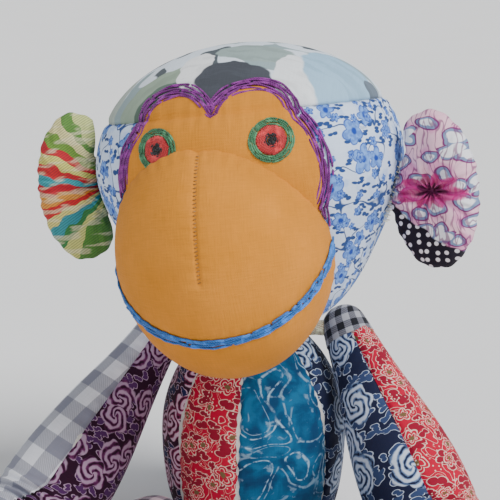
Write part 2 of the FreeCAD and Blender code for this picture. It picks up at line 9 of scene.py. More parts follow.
import bmesh
import bpy
import numpy as np
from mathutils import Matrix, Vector

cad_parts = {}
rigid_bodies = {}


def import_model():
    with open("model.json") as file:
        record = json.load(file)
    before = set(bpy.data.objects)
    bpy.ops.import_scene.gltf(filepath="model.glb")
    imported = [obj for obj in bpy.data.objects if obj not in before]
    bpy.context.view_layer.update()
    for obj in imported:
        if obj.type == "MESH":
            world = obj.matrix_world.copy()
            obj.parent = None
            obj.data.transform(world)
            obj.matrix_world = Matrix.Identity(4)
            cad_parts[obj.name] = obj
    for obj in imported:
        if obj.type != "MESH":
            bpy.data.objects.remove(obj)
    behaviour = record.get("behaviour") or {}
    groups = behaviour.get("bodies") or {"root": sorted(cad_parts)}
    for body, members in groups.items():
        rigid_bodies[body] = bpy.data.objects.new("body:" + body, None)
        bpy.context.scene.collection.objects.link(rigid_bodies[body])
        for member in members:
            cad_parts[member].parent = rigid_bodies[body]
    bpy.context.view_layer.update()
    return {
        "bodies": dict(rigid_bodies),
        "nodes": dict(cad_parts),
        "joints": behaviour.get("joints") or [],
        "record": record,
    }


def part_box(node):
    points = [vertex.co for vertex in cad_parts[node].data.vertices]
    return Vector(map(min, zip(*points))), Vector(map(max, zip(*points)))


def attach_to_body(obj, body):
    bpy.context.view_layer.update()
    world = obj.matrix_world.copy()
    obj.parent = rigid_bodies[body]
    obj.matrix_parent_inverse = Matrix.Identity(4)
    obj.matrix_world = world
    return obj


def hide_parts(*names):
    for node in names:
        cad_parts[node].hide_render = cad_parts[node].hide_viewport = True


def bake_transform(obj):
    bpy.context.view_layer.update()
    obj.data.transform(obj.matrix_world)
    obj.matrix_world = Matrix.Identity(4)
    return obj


Array = np.ndarray
Material = bpy.types.Material
Socket = bpy.types.NodeSocket
Thing = bpy.types.Object

LOG = logging.getLogger("monkey")
MM = 0.001
CLOTH = 1.2 * MM
FLOOR_GAP = 0.35 * MM  # how far cloth that lies on the floor stays off it


class Side(Enum):
    """The toy's own left and right."""

    LEFT = 1
    RIGHT = -1

    @property
    def word(self) -> str:
        """The side as the names of its parts begin."""
        return self.name.lower()


class Strip(Enum):
    """The two long strips of a limb: the one outwards or on top, and the other."""

    OUTER = 1
    INNER = -1


# ---------------------------------------------------------------- curves and fields

def smooth_curve(points: list[tuple[float, ...]], count: int) -> Array:
    """A natural cubic through points, by length along them.

    Args:
        points: the places that it passes.
        count: how many samples to take.

    Returns:
        One row for each sample.
    """
    places = np.array(points, float)
    stations = np.r_[0, np.cumsum(np.linalg.norm(np.diff(places, axis=0), axis=1))]
    size, gaps = len(stations), np.diff(stations)
    system = np.eye(size)
    slopes = np.zeros((size, places.shape[1]))
    for i in range(1, size - 1):
        system[i, i - 1:i + 2] = gaps[i - 1], 2 * (gaps[i - 1] + gaps[i]), gaps[i]
        slopes[i] = 6 * ((places[i + 1] - places[i]) / gaps[i] - (places[i] - places[i - 1]) / gaps[i - 1])
    bends = np.linalg.solve(system, slopes)
    along = np.linspace(0, stations[-1], count)
    span = np.clip(np.searchsorted(stations, along) - 1, 0, size - 2)
    gap = gaps[span][:, None]
    left = (stations[span + 1] - along)[:, None]
    right = (along - stations[span])[:, None]
    return (
        bends[span] * left ** 3 / (6 * gap)
        + bends[span + 1] * right ** 3 / (6 * gap)
        + (places[span] / gap - bends[span] * gap / 6) * left
        + (places[span + 1] / gap - bends[span + 1] * gap / 6) * right
    )


def ripple(points: Array, size: float, seed: int) -> Array:
    """A smooth random field from -1 to 1, the same on every piece that shares a place.

    Args:
        points: one place a row.
        size: the usual width of a lump.
        seed: which field.

    Returns:
        One value for each place.
    """
    pick = np.random.default_rng(seed)
    total = np.zeros(len(points))
    for _ in range(9):
        way = pick.normal(size=3)
        way *= (2 * math.pi / size) * pick.uniform(0.6, 1.3) / np.linalg.norm(way) / 2
        total += np.sin(points @ way + pick.uniform(0, 2 * math.pi))
    return total / 4.5


def dip(distance: Array, width: float) -> Array:
    """A rounded groove, 1 at no distance and 0 a few widths off."""
    return np.exp(-((distance / width) ** 2))


def unit(vectors: Array) -> Array:
    """Each row at length 1."""
    return vectors / np.maximum(np.linalg.norm(vectors, axis=-1, keepdims=True), 1e-12)


def turn_about(axis: str, degrees: float) -> Array:
    """A turn about one axis, as a 3 by 3 matrix."""
    c, s = math.cos(math.radians(degrees)), math.sin(math.radians(degrees))
    rows = {
        "x": [[1, 0, 0], [0, c, -s], [0, s, c]],
        "y": [[c, 0, s], [0, 1, 0], [-s, 0, c]],
        "z": [[c, -s, 0], [s, c, 0], [0, 0, 1]],
    }
    return np.array(rows[axis])


def heading(azimuth: float, elevation: float = 0.0) -> Array:
    """A direction in degrees from straight ahead, towards the toy's left, and upwards."""
    a, e = math.radians(azimuth), math.radians(elevation)
    return np.array([math.sin(a) * math.cos(e), -math.cos(a) * math.cos(e), math.sin(e)])


@dataclass(frozen=True)
class Place:
    """A frame of its own: an origin and the way that its three axes point."""

    origin: Array
    axes: Array

    def out(self, points: Array) -> Array:
        """Local places, one a row, in the toy's frame."""
        return points @ self.axes.T + self.origin

    @staticmethod
    def along(direction: Array, origin: Array, towards: Array) -> "Place":
        """A frame with +Z along a direction and +X turned towards another.

        Args:
            direction: the way of +Z.
            origin: where it starts.
            towards: the side that +X leans to.

        Returns:
            The frame.
        """
        z = unit(direction)
        y = unit(np.cross(z, towards))
        return Place(np.array(origin, float), np.stack([np.cross(y, z), y, z], axis=1))


# ---------------------------------------------------------------- meshes

def around(count: int) -> Array:
    """Evenly spaced angles round a circle, without the last that meets the first."""
    return np.linspace(0, 2 * math.pi, count, endpoint=False)


def lattice(rows: int, columns: int, closed: bool = False) -> list[tuple[int, ...]]:
    """The four-sided faces of a grid of points.

    Args:
        rows: how many rows of points.
        columns: how many points in a row.
        closed: whether a row's last point meets its first.

    Returns:
        The faces, as corners.
    """
    last = columns if closed else columns - 1
    faces = []
    for i in range(rows - 1):
        for j in range(last):
            k = (j + 1) % columns
            faces.append((i * columns + j, i * columns + k, (i + 1) * columns + k, (i + 1) * columns + j))
    return faces


@dataclass
class Cutting:
    """A piece of cloth or thread before it is sewn on: its points, faces and flat coordinates."""

    points: Array
    faces: list[tuple[int, ...]]
    flat: Array | None = None

    @staticmethod
    def grid(points: Array, flat: Array | None = None, closed: bool = False) -> "Cutting":
        """A cutting from a grid of points, rows by columns by 3."""
        rows, columns = points.shape[:2]
        spread = None if flat is None else flat.reshape(-1, 2)
        return Cutting(points.reshape(-1, 3), lattice(rows, columns, closed), spread)

    def capped(self, spokes: int, place: Array | None = None, flat: Array | None = None) -> "Cutting":
        """Closes the first ring of points.

        Args:
            spokes: how many points the ring has.
            place: the new middle point, or nothing for the ring's own middle.
            flat: its flat coordinates, or nothing for the origin.

        Returns:
            The same cutting.
        """
        pole = len(self.points)
        self.points = np.vstack([self.points, self.points[:spokes].mean(axis=0) if place is None else place])
        self.flat = np.vstack([self.flat, [0, 0] if flat is None else flat])
        self.faces += [(pole, (j + 1) % spokes, j) for j in range(spokes)]
        return self

    @staticmethod
    def joined(pieces: list["Cutting"]) -> "Cutting":
        """Several cuttings as one."""
        points, faces, flats, start = [], [], [], 0
        for piece in pieces:
            points.append(piece.points)
            faces += [tuple(c + start for c in face) for face in piece.faces]
            flats.append(piece.flat if piece.flat is not None else np.zeros((len(piece.points), 2)))
            start += len(piece.points)
        return Cutting(np.concatenate(points), faces, np.concatenate(flats))


@dataclass
class Workroom:
    """Makes objects from cuttings and fixes them to the frame."""

    finishes: dict[str, Material]
    made: list[str] = field(default_factory=list)

    def mesh(self, name: str, cutting: Cutting, finish: str, inside: Array | None = None) -> Thing:
        """A smooth object from a cutting, with its faces turned outwards.

        Args:
            name: the object's name.
            cutting: its shape.
            finish: the name of its material.
            inside: a place behind its faces, or nothing where they already point outwards.

        Returns:
            The new object.
        """
        faces = cutting.faces
        if inside is not None:
            corners = np.array([face[:3] for face in faces])
            a, b, c = (cutting.points[corners[:, i]] for i in range(3))
            facing = np.einsum("ij,ij->i", np.cross(b - a, c - a), a - inside).sum()
            if facing < 0:
                faces = [tuple(reversed(face)) for face in faces]
        data = bpy.data.meshes.new(name)
        data.from_pydata([tuple(p) for p in cutting.points], [], faces)
        if cutting.flat is not None:
            layer = data.uv_layers.new(name="UVMap")
            corner = np.empty(len(data.loops), int)
            data.loops.foreach_get("vertex_index", corner)
            layer.data.foreach_set("uv", cutting.flat[corner].astype(np.float32).ravel())
        data.polygons.foreach_set("use_smooth", [True] * len(data.polygons))
        data.validate()
        thing = bpy.data.objects.new(name, data)
        bpy.context.scene.collection.objects.link(thing)
        data.materials.append(self.finishes[finish])
        return thing

    def backed(self, thing: Thing, thickness: float = CLOTH) -> Thing:
        """Gives a sheet its thickness, inwards."""
        wall = thing.modifiers.new("cloth", "SOLIDIFY")
        wall.thickness = thickness
        wall.offset = -1.0
        return thing

    def sewn(self, thing: Thing, body: str, finish: str, *nodes: str, fill: float | None = None) -> None:
        """Fixes a piece to a body in place of the frame's own nodes.

        Args:
            thing: the piece.
            body: the body that it moves with.
            finish: the record's material slot; not used.
            nodes: the frame's nodes that it stands for.
            fill: how tightly it is stuffed, if it is; not used.
        """
        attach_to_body(thing, body)
        self.counted(thing, finish, *nodes, fill=fill)

    def bridged(
        self, thing: Thing, bodies: tuple[str, str], ends: tuple[Array, Array],
        finish: str, *nodes: str, fill: float | None = None,
    ) -> None:
        """Fixes a piece in place across a joint, in the toy's own frame, and hides the frame's nodes that it stands
        for.

        Args:
            thing: the piece.
            bodies: the bodies on either side; not used.
            ends: where it starts and stops bending; not used.
            finish: the record's material slot; not used.
            nodes: the frame's nodes that it stands for.
            fill: how tightly it is stuffed, if it is; not used.
        """
        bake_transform(thing)
        self.counted(thing, finish, *nodes, fill=fill)

    def counted(self, thing: Thing, finish: str, *nodes: str, fill: float | None = None) -> None:
        """Hides the frame's nodes that a piece stands for, notes its name and reports it."""
        if nodes:
            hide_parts(*nodes)
        self.made.append(thing.name)
        LOG.info("%s: %d points", thing.name, len(thing.data.vertices))

    def stuffing(
        self, node: str, body: str, shrink: float = 0.8 * MM, pressed: tuple[Array, Array, float] | None = None,
    ) -> None:
        """Makes a node's stuffing into a lumpy mass of fibre.

        Args:
            node: the frame's node.
            body: the body that it moves with.
            shrink: how far its surface draws in.
            pressed: a place, a direction and a share of its thickness to keep, for stuffing that is pressed flat.
        """
        data = FRAME_NODES[node].data.copy()
        data.name = f"{node}_fibre"
        thing = bpy.data.objects.new(f"{node}_fibre", data)
        bpy.context.scene.collection.objects.link(thing)
        even = thing.modifiers.new("even", "REMESH")
        even.mode = "VOXEL"
        even.voxel_size = 4 * MM
        thing = flattened(thing)
        data = thing.data
        places = np.array([v.co for v in data.vertices])
        normals = np.array([v.normal for v in data.vertices])
        depth = shrink * (1 + 0.8 * ripple(places, 12 * MM, 5))
        places = places - normals * depth[:, None]
        if pressed:
            place, way, keep = pressed
            places = places - ((places - place) @ way)[:, None] * way * (1 - keep)
        data.vertices.foreach_set("co", places.astype(np.float32).ravel())
        data.polygons.foreach_set("use_smooth", [True] * len(data.polygons))
        data.materials.clear()
        data.materials.append(self.finishes["stuffing"])
        self.sewn(thing, body, "stuffing", node, fill=0.9)


FRAME_NODES: dict[str, Thing] = {}


def flattened(thing: Thing) -> Thing:
    """Turns an object's modifiers into a plain mesh, and removes them."""
    bpy.context.view_layer.update()
    graph = bpy.context.evaluated_depsgraph_get()
    plain = bpy.data.meshes.new_from_object(thing.evaluated_get(graph))
    old = thing.data
    thing.modifiers.clear()
    thing.data = plain
    plain.name = old.name + "_plain"
    return thing


# ---------------------------------------------------------------- finishes

Colour = tuple[float, float, float]


def dyed(red: int, green: int, blue: int) -> Colour:
    """A dye's colour on the usual 0 to 255 scale, as the light-linear numbers that a shader takes."""
    return tuple((c / 255 / 12.92) if c < 11 else ((c / 255 + 0.055) / 1.055) ** 2.4 for c in (red, green, blue))


class Loom:
    """Builds one material's nodes as if they were sums."""

    def __init__(self, name: str) -> None:
        """An empty material with its shader and its flat coordinates, in millimetres."""
        self.material = bpy.data.materials.new(name)
        self.material.use_nodes = True
        self.tree = self.material.node_tree
        self.tree.nodes.clear()
        self.colour: object = None
        self.shader = self.tree.nodes.new("ShaderNodeBsdfPrincipled")
        out = self.tree.nodes.new("ShaderNodeOutputMaterial")
        self.tree.links.new(self.shader.outputs[0], out.inputs[0])
        coordinates = self.tree.nodes.new("ShaderNodeTexCoord")
        self.flat = self.vector("SCALE", coordinates.outputs["UV"], scale=1000.0)
        self.solid = self.vector("SCALE", coordinates.outputs["Object"], scale=1000.0)

    def feed(self, socket: Socket, value: object) -> None:
        """Links or sets one input."""
        if isinstance(value, Socket):
            self.tree.links.new(value, socket)
        elif value is not None:
            socket.default_value = (*value, 1.0) if socket.type == "RGBA" and len(value) == 3 else value

    def math(self, kind: str, a: object, b: object = None, c: object = None) -> Socket:
        """One arithmetic step."""
        node = self.tree.nodes.new("ShaderNodeMath")
        node.operation = kind
        for socket, value in zip(node.inputs, (a, b, c)):
            self.feed(socket, value)
        return node.outputs[0]

    def vector(self, kind: str, a: object, b: object = None, scale: object = None) -> Socket:
        """One step on vectors, which gives a vector, or a number for a length or a dot product."""
        node = self.tree.nodes.new("ShaderNodeVectorMath")
        node.operation = kind
        self.feed(node.inputs[0], a)
        self.feed(node.inputs[1], b)
        if scale is not None:
            self.feed(node.inputs["Scale"], scale)
        return node.outputs["Value" if kind in ("LENGTH", "DOT_PRODUCT", "DISTANCE") else "Vector"]

    def axes(self, vector: Socket) -> tuple[Socket, ...]:
        """A vector's three numbers."""
        node = self.tree.nodes.new("ShaderNodeSeparateXYZ")
        self.feed(node.inputs[0], vector)
        return tuple(node.outputs)

    def turned(self, vector: Socket, degrees: float, stretch: Colour = (1, 1, 1)) -> Socket:
        """Coordinates turned and stretched about their origin."""
        node = self.tree.nodes.new("ShaderNodeMapping")
        self.feed(node.inputs["Vector"], vector)
        node.inputs["Rotation"].default_value = (0, 0, math.radians(degrees))
        node.inputs["Scale"].default_value = stretch
        return node.outputs[0]

    def noise(self, at: Socket, size: float, detail: float = 2.0) -> Socket:
        """A cloudy field about 0.5, with clouds of a size in millimetres."""
        node = self.tree.nodes.new("ShaderNodeTexNoise")
        self.feed(node.inputs["Vector"], at)
        node.inputs["Scale"].default_value = 1 / size
        node.inputs["Detail"].default_value = detail
        return node.outputs[0]

    def warped(self, at: Socket, size: float, reach: float) -> Socket:
        """Coordinates pushed about by up to a reach, in swirls of a size."""
        node = self.tree.nodes.new("ShaderNodeTexNoise")
        self.feed(node.inputs["Vector"], at)
        node.inputs["Scale"].default_value = 1 / size
        node.inputs["Detail"].default_value = 1.0
        push = self.vector("SCALE", self.vector("SUBTRACT", node.outputs["Color"], (0.5, 0.5, 0.5)), scale=reach * 2)
        return self.vector("ADD", at, push)

    def cells(self, at: Socket, size: float, scatter: float = 1.0) -> tuple[Socket, ...]:
        """Scattered spots on the flat.

        Args:
            at: where the pattern is read.
            size: the usual gap between spots, in millimetres.
            scatter: how far they leave a square grid.

        Returns:
            The distance to the nearest spot in millimetres, the angle round it, and a random number of its own.
        """
        node = self.tree.nodes.new("ShaderNodeTexVoronoi")
        node.voronoi_dimensions = "2D"
        self.feed(node.inputs["Vector"], at)
        node.inputs["Scale"].default_value = 1 / size
        node.inputs["Randomness"].default_value = scatter
        away = self.vector("SUBTRACT", at, self.vector("SCALE", node.outputs["Position"], scale=1.0))
        x, y, _ = self.axes(away)
        red, _, _ = self.axes(node.outputs["Color"])
        reach = self.math("SQRT", self.math("ADD", self.math("MULTIPLY", x, x), self.math("MULTIPLY", y, y)))
        return reach, self.math("ARCTAN2", y, x), red

    def over(self, value: object, edge: object, soft: float) -> Socket:
        """1 where a value is above an edge, 0 below, softly between."""
        node = self.tree.nodes.new("ShaderNodeMapRange")
        node.interpolation_type = "SMOOTHSTEP"
        self.feed(node.inputs[0], self.math("SUBTRACT", value, edge))
        node.inputs[1].default_value = -soft
        node.inputs[2].default_value = soft
        return node.outputs[0]

    def under(self, value: object, edge: object, soft: float) -> Socket:
        """1 where a value is below an edge."""
        return self.math("SUBTRACT", 1.0, self.over(value, edge, soft))

    def line(self, field_: object, level: float, width: float) -> Socket:
        """1 along the contour of a field at a level."""
        return self.under(self.math("ABSOLUTE", self.math("SUBTRACT", field_, level)), width, width * 0.6)

    def both(self, *masks: object) -> Socket:
        """1 where every mask is 1."""
        total = masks[0]
        for mask in masks[1:]:
            total = self.math("MULTIPLY", total, mask)
        return total

    def painted(self, under: object, mask: object, colour: object) -> Socket:
        """A colour laid over another where a mask is 1."""
        node = self.tree.nodes.new("ShaderNodeMix")
        node.data_type = "RGBA"
        node.clamp_factor = True
        self.feed(node.inputs[0], mask)
        self.feed(node.inputs[6], under)
        self.feed(node.inputs[7], colour)
        return node.outputs[2]

    def petals(
        self, cell: tuple[Socket, ...], radius: float, count: int, deep: float = 0.35,
    ) -> Socket:
        """How far a place is inside its spot's flower, in millimetres, negative outside it.

        Args:
            cell: the spots, as cells gives them.
            radius: a petal's length.
            count: how many petals.
            deep: how far the outline falls in between petals, as a part of the radius.

        Returns:
            The depth inside the outline.
        """
        reach, angle, own = cell
        turn = self.math("MULTIPLY_ADD", own, 6.0, self.math("MULTIPLY", angle, count / 2))
        wave = self.math("ABSOLUTE", self.math("COSINE", turn))
        grown = self.math("MULTIPLY_ADD", own, 0.5, 0.75)
        outline = self.math("MULTIPLY", grown, self.math("MULTIPLY_ADD", wave, radius * deep, radius * (1 - deep)))
        return self.math("SUBTRACT", outline, reach)

    def lay(self, mask: object, colour: object) -> None:
        """Prints a colour on the cloth where a mask is 1."""
        self.colour = self.painted(self.colour, mask, colour)

    def embossed(self, height: Socket, distance: float, strength: float = 1.0) -> None:
        """Raises the surface by a height field, as fine relief."""
        bump = self.tree.nodes.new("ShaderNodeBump")
        bump.inputs["Strength"].default_value = strength
        bump.inputs["Distance"].default_value = distance
        self.feed(bump.inputs["Height"], height)
        self.tree.links.new(bump.outputs[0], self.shader.inputs["Normal"])

    def woven(self, rough: float = 0.86, weave: float = 0.5, slub: float = 0.05) -> Material:
        """Finishes a cloth: its threads, their unevenness and its fine nap.

        Args:
            rough: the surface's roughness.
            weave: how strongly the threads stand up.
            slub: how far the colour wanders along the threads.

        Returns:
            The material.
        """
        x, y, _ = self.axes(self.flat)
        warp = self.noise(self.turned(self.flat, 0, (0.08, 1.0, 1.0)), 0.8, 1.0)
        weft = self.noise(self.turned(self.flat, 0, (1.0, 0.08, 1.0)), 0.8, 1.0)
        cross = self.math("MULTIPLY", self.math("SINE", self.math("MULTIPLY", x, 7.4)),
                          self.math("SINE", self.math("MULTIPLY", y, 7.4)))
        threads = self.math("ADD", warp, weft)
        worn = self.noise(self.solid, 26.0, 3.0)
        tone = self.math("ADD", self.math("MULTIPLY", threads, slub * 2),
                         self.math("MULTIPLY_ADD", worn, slub * 2.4, 1.0 - slub * 3.2))
        shade = self.vector("SCALE", self.colour, scale=tone)
        self.feed(self.shader.inputs["Base Color"], shade)
        height = self.math("ADD", self.math("MULTIPLY", cross, 0.22), threads)
        height = self.math("MULTIPLY_ADD", self.noise(self.solid, 3.2, 2.0), 1.1, height)
        self.embossed(height, 0.3 * MM, weave)
        self.shader.inputs["Roughness"].default_value = rough
        self.shader.inputs["Specular IOR Level"].default_value = 0.22
        self.shader.inputs["Sheen Weight"].default_value = 0.04
        self.shader.inputs["Sheen Roughness"].default_value = 0.5
        return self.material


@dataclass(frozen=True)
class PlainCotton:
    """An undyed or one-colour cloth with uneven threads."""

    dye: Colour

    def make(self, name: str) -> Material:
        """The finished cloth."""
        loom = Loom(name)
        faded = tuple(min(c * 1.12 + 0.01, 1.0) for c in self.dye)
        loom.colour = loom.painted(self.dye, loom.over(loom.noise(loom.flat, 34.0, 3.0), 0.52, 0.25), faded)
        return loom.woven(rough=0.9, weave=0.55, slub=0.085)


@dataclass(frozen=True)
class Checked:
    """A woven check: two bands of thread that cross."""

    light: Colour
    middle: Colour
    dark: Colour
    square: float

    def make(self, name: str) -> Material:
        """The finished cloth."""
        loom = Loom(name)
        x, y, _ = loom.axes(loom.warped(loom.flat, 40.0, 0.7))
        along, across = (
            loom.over(loom.math("SINE", loom.math("MULTIPLY", c, math.pi / self.square)), 0.0, 0.07) for c in (x, y)
        )
        twill = loom.over(loom.math("SINE", loom.math("MULTIPLY", loom.math("ADD", x, y), 4.2)), 0.0, 0.6)
        one = loom.math("SUBTRACT", loom.math("ADD", along, across), loom.math("MULTIPLY", along, across))
        blended = loom.painted(self.middle, loom.math("MULTIPLY", twill, 0.28), self.light)
        loom.colour = loom.painted(self.light, one, blended)
        loom.lay(loom.both(along, across), self.dark)
        return loom.woven(weave=0.4)


@dataclass(frozen=True)
class Sprigged:
    """Ink-blue flowers, buds and vines on white."""

    ground: Colour
    pale: Colour
    ink: Colour
    leaf: Colour

    def make(self, name: str) -> Material:
        """The finished cloth."""
        loom = Loom(name)
        at = loom.warped(loom.flat, 9.0, 1.6)
        wash = tuple(0.7 * a + 0.3 * b for a, b in zip(self.ground, self.pale))
        loom.colour = loom.painted(self.ground, loom.over(loom.noise(loom.flat, 13.0, 2.0), 0.6, 0.05), wash)
        vine = loom.line(loom.noise(loom.warped(loom.flat, 24.0, 12.0), 19.0, 0.0), 0.5, 0.010)
        loom.lay(vine, self.leaf)
        sprays = loom.cells(loom.turned(at, 30, (1.0, 1.9, 1.0)), 8.5)
        leaves = loom.petals(sprays, 3.3, 2, 0.75)
        shown = loom.both(loom.over(leaves, 0.0, 0.3), loom.over(sprays[2], 0.35, 0.02))
        loom.lay(shown, self.leaf)
        for size, radius, count in ((20.0, 6.6, 5), (11.5, 2.7, 5)):
            spots = loom.cells(at, size)
            depth = loom.petals(spots, radius, count, 0.38)
            inside = loom.over(depth, 0.0, 0.4)
            veins = loom.over(loom.noise(loom.flat, 2.6, 1.0), 0.5, 0.12)
            petal = loom.painted(self.pale, veins, tuple(0.55 * a + 0.45 * b for a, b in zip(self.pale, self.ink)))
            loom.lay(inside, petal)
            loom.lay(loom.both(loom.line(depth, 0.45, 0.3), 0.8), self.ink)
            loom.lay(loom.both(inside, loom.under(spots[0], radius * 0.24, 0.5)), self.ink)
        return loom.woven(weave=0.3)


@dataclass(frozen=True)
class Scrolled:
    """Cream-edged leaves, scrolls and small flowers on a strong ground."""

    ground: Colour
    edge: Colour
    fill: Colour
    accent: Colour
    size: float = 15.0

    def make(self, name: str) -> Material:
        """The finished cloth."""
        loom = Loom(name)
        at = loom.warped(loom.flat, self.size * 0.8, self.size * 0.22)
        loom.colour = self.ground
        swirl = loom.noise(loom.warped(loom.flat, self.size, self.size * 0.7), self.size * 0.62, 0.0)
        for level in (0.44, 0.56):
            loom.lay(loom.line(swirl, level, 0.0065), self.edge)
        leaves = loom.cells(loom.turned(at, -35, (1.0, 1.6, 1.0)), self.size * 0.72)
        depth = loom.petals(leaves, self.size * 0.36, 2, 0.62)
        loom.lay(loom.over(depth, 0.0, 0.2), self.edge)
        loom.lay(loom.over(depth, 0.5, 0.2), self.fill)
        flowers = loom.cells(at, self.size)
        depth = loom.petals(flowers, self.size * 0.34, 5, 0.34)
        loom.lay(loom.over(depth, 0.0, 0.2), self.edge)
        loom.lay(loom.over(depth, 0.55, 0.2), self.ground)
        loom.lay(loom.line(depth, 2.1, 0.25), self.edge)
        loom.lay(loom.both(loom.over(depth, 0.0, 0.2), loom.under(flowers[0], 1.5, 0.3)), self.accent)
        dots = loom.cells(loom.flat, 3.4, 0.8)
        speck = loom.both(loom.under(dots[0], 0.42, 0.15), loom.over(dots[2], 0.6, 0.05))
        loom.lay(speck, self.edge)
        return loom.woven(weave=0.32)


@dataclass(frozen=True)
class Batik:
    """A mottled dye with pale wax scribbles."""

    deep: Colour
    mid: Colour
    pale: Colour

    def make(self, name: str) -> Material:
        """The finished cloth."""
        loom = Loom(name)
        clouds = loom.noise(loom.warped(loom.flat, 26.0, 12.0), 13.0, 5.0)
        loom.colour = loom.painted(self.deep, loom.over(clouds, 0.5, 0.16), self.mid)
        curls = loom.noise(loom.warped(loom.flat, 30.0, 18.0), 24.0, 0.0)
        rub = loom.over(loom.noise(loom.flat, 3.0, 3.0), 0.46, 0.09)
        loom.lay(loom.both(loom.line(curls, 0.53, 0.012), rub, 0.85), self.pale)
        loom.lay(loom.both(loom.line(curls, 0.44, 0.008), rub, 0.5), self.pale)
        washed = loom.over(loom.noise(loom.warped(loom.flat, 12.0, 8.0), 7.0, 4.0), 0.64, 0.05)
        loom.lay(loom.math("MULTIPLY", washed, 0.4), self.pale)
        return loom.woven(weave=0.32, slub=0.07)


@dataclass(frozen=True)
class Roses:
    """Large loose roses, their petals light at the rim, on a dark ground."""

    ground: Colour
    petal: Colour
    rim: Colour
    leaf: Colour
    size: float = 26.0

    def make(self, name: str) -> Material:
        """The finished cloth."""
        loom = Loom(name)
        at = loom.warped(loom.flat, self.size * 0.35, self.size * 0.13)
        loom.colour = self.ground
        sprays = loom.cells(loom.turned(at, 40, (1.0, 1.8, 1.0)), self.size * 0.42)
        sprays = loom.petals(sprays, self.size * 0.2, 2, 0.6)
        loom.lay(loom.over(sprays, 0.0, 0.3), self.leaf)
        loom.lay(loom.line(sprays, 0.1, 0.3), self.rim)
        heads = loom.cells(at, self.size)
        depth = loom.petals(heads, self.size * 0.52, 5, 0.22)
        inside = loom.over(depth, 0.0, 0.5)
        spiral = loom.math("SINE", loom.math("MULTIPLY_ADD", heads[0], 1.55, loom.math("MULTIPLY", heads[1], 3.0)))
        ragged = loom.math("MULTIPLY_ADD", loom.noise(loom.flat, 3.4, 2.0), 2.4, -1.2)
        folds = loom.over(loom.math("ADD", spiral, ragged), 0.1, 0.55)
        loom.lay(inside, loom.painted(self.petal, folds, self.rim))
        shade = loom.both(inside, loom.under(loom.math("ADD", spiral, ragged), -0.75, 0.3))
        loom.lay(shade, self.ground)
        return loom.woven(weave=0.32)


@dataclass(frozen=True)
class Blot:
    """One soft-edged shape of a large print: its middle, half sizes and turn on the flat, and its colour."""

    x: float
    y: float
    long: float
    wide: float
    turn: float
    dye: Colour


@dataclass(frozen=True)
class LargeLeaves:
    """Big drifting leaf shapes in greys and greens, laid out for the crown."""

    ground: Colour
    blots: tuple[Blot, ...]

    def make(self, name: str) -> Material:
        """The finished cloth."""
        loom = Loom(name)
        at = loom.warped(loom.flat, 9.0, 3.2)
        far = loom.noise(loom.warped(loom.flat, 20.0, 12.0), 19.0, 0.0)
        loom.colour = loom.painted(self.ground, loom.over(far, 0.6, 0.012), dyed(148, 168, 172))
        loom.lay(loom.under(far, 0.36, 0.012), dyed(82, 90, 96))
        for blot in self.blots:
            moved = loom.vector("SUBTRACT", at, (blot.x, blot.y, 0.0))
            reach = loom.vector("LENGTH", loom.turned(moved, -blot.turn, (1 / blot.long, 1 / blot.wide, 0.0)))
            inside = loom.under(reach, 1.0, 0.035)
            loom.lay(inside, blot.dye)
            shade = loom.over(loom.noise(loom.turned(at, blot.turn, (0.35, 1.5, 1.0)), 9.0, 3.0), 0.54, 0.07)
            loom.lay(loom.both(inside, shade, 0.32), tuple(c * 0.6 for c in blot.dye))
        return loom.woven(weave=0.3)


@dataclass(frozen=True)
class Winged:
    """Pink bands with veined blue-grey lobes and white ovals, and a dotted dark border below."""

    def make(self, name: str) -> Material:
        """The finished cloth, on flat coordinates that run out from the ear's gathered side."""
        loom = Loom(name)
        at = loom.warped(loom.flat, 14.0, 4.0)
        pink, plum, blue = dyed(231, 160, 198), dyed(120, 44, 104), dyed(126, 146, 182)
        loom.colour = loom.painted(dyed(244, 196, 214), loom.over(loom.noise(at, 12.0, 0.0), 0.5, 0.05), pink)
        lobes = loom.cells(loom.turned(at, 25, (1.0, 1.5, 1.0)), 13.0)
        depth = loom.petals(lobes, 6.8, 2, 0.2)
        loom.lay(loom.over(depth, 0.0, 0.3), plum)
        loom.lay(loom.over(depth, 0.9, 0.3), blue)
        loom.lay(loom.over(depth, 2.6, 0.3), dyed(240, 240, 246))
        fine = loom.noise(loom.turned(at, 0, (1.5, 0.3, 1.0)), 5.0, 1.0)
        loom.lay(loom.both(loom.line(fine, 0.5, 0.03), 0.7), plum)
        x, y, _ = loom.axes(at)
        border = loom.under(loom.math("MULTIPLY_ADD", x, 0.62, loom.math("MULTIPLY", y, 0.85)), -19.0, 0.6)
        dots = loom.cells(loom.flat, 4.6, 0.5)
        loom.lay(border, dyed(30, 24, 38))
        loom.lay(loom.both(border, loom.under(dots[0], 1.15, 0.2)), dyed(238, 232, 240))
        rays = loom.math("SINE", loom.math("MULTIPLY", loom.math("ARCTAN2", y, x), 9.0))
        reach = loom.math("MULTIPLY_ADD", rays, 2.2, loom.vector("LENGTH", loom.turned(loom.flat, 0, (0.75, 1.7, 0.0))))
        loom.lay(loom.both(loom.under(reach, 13.0, 1.2), 0.85), dyed(190, 36, 122))
        loom.lay(loom.both(loom.under(reach, 5.0, 1.0), 0.8), dyed(70, 20, 62))
        return loom.woven(weave=0.3)


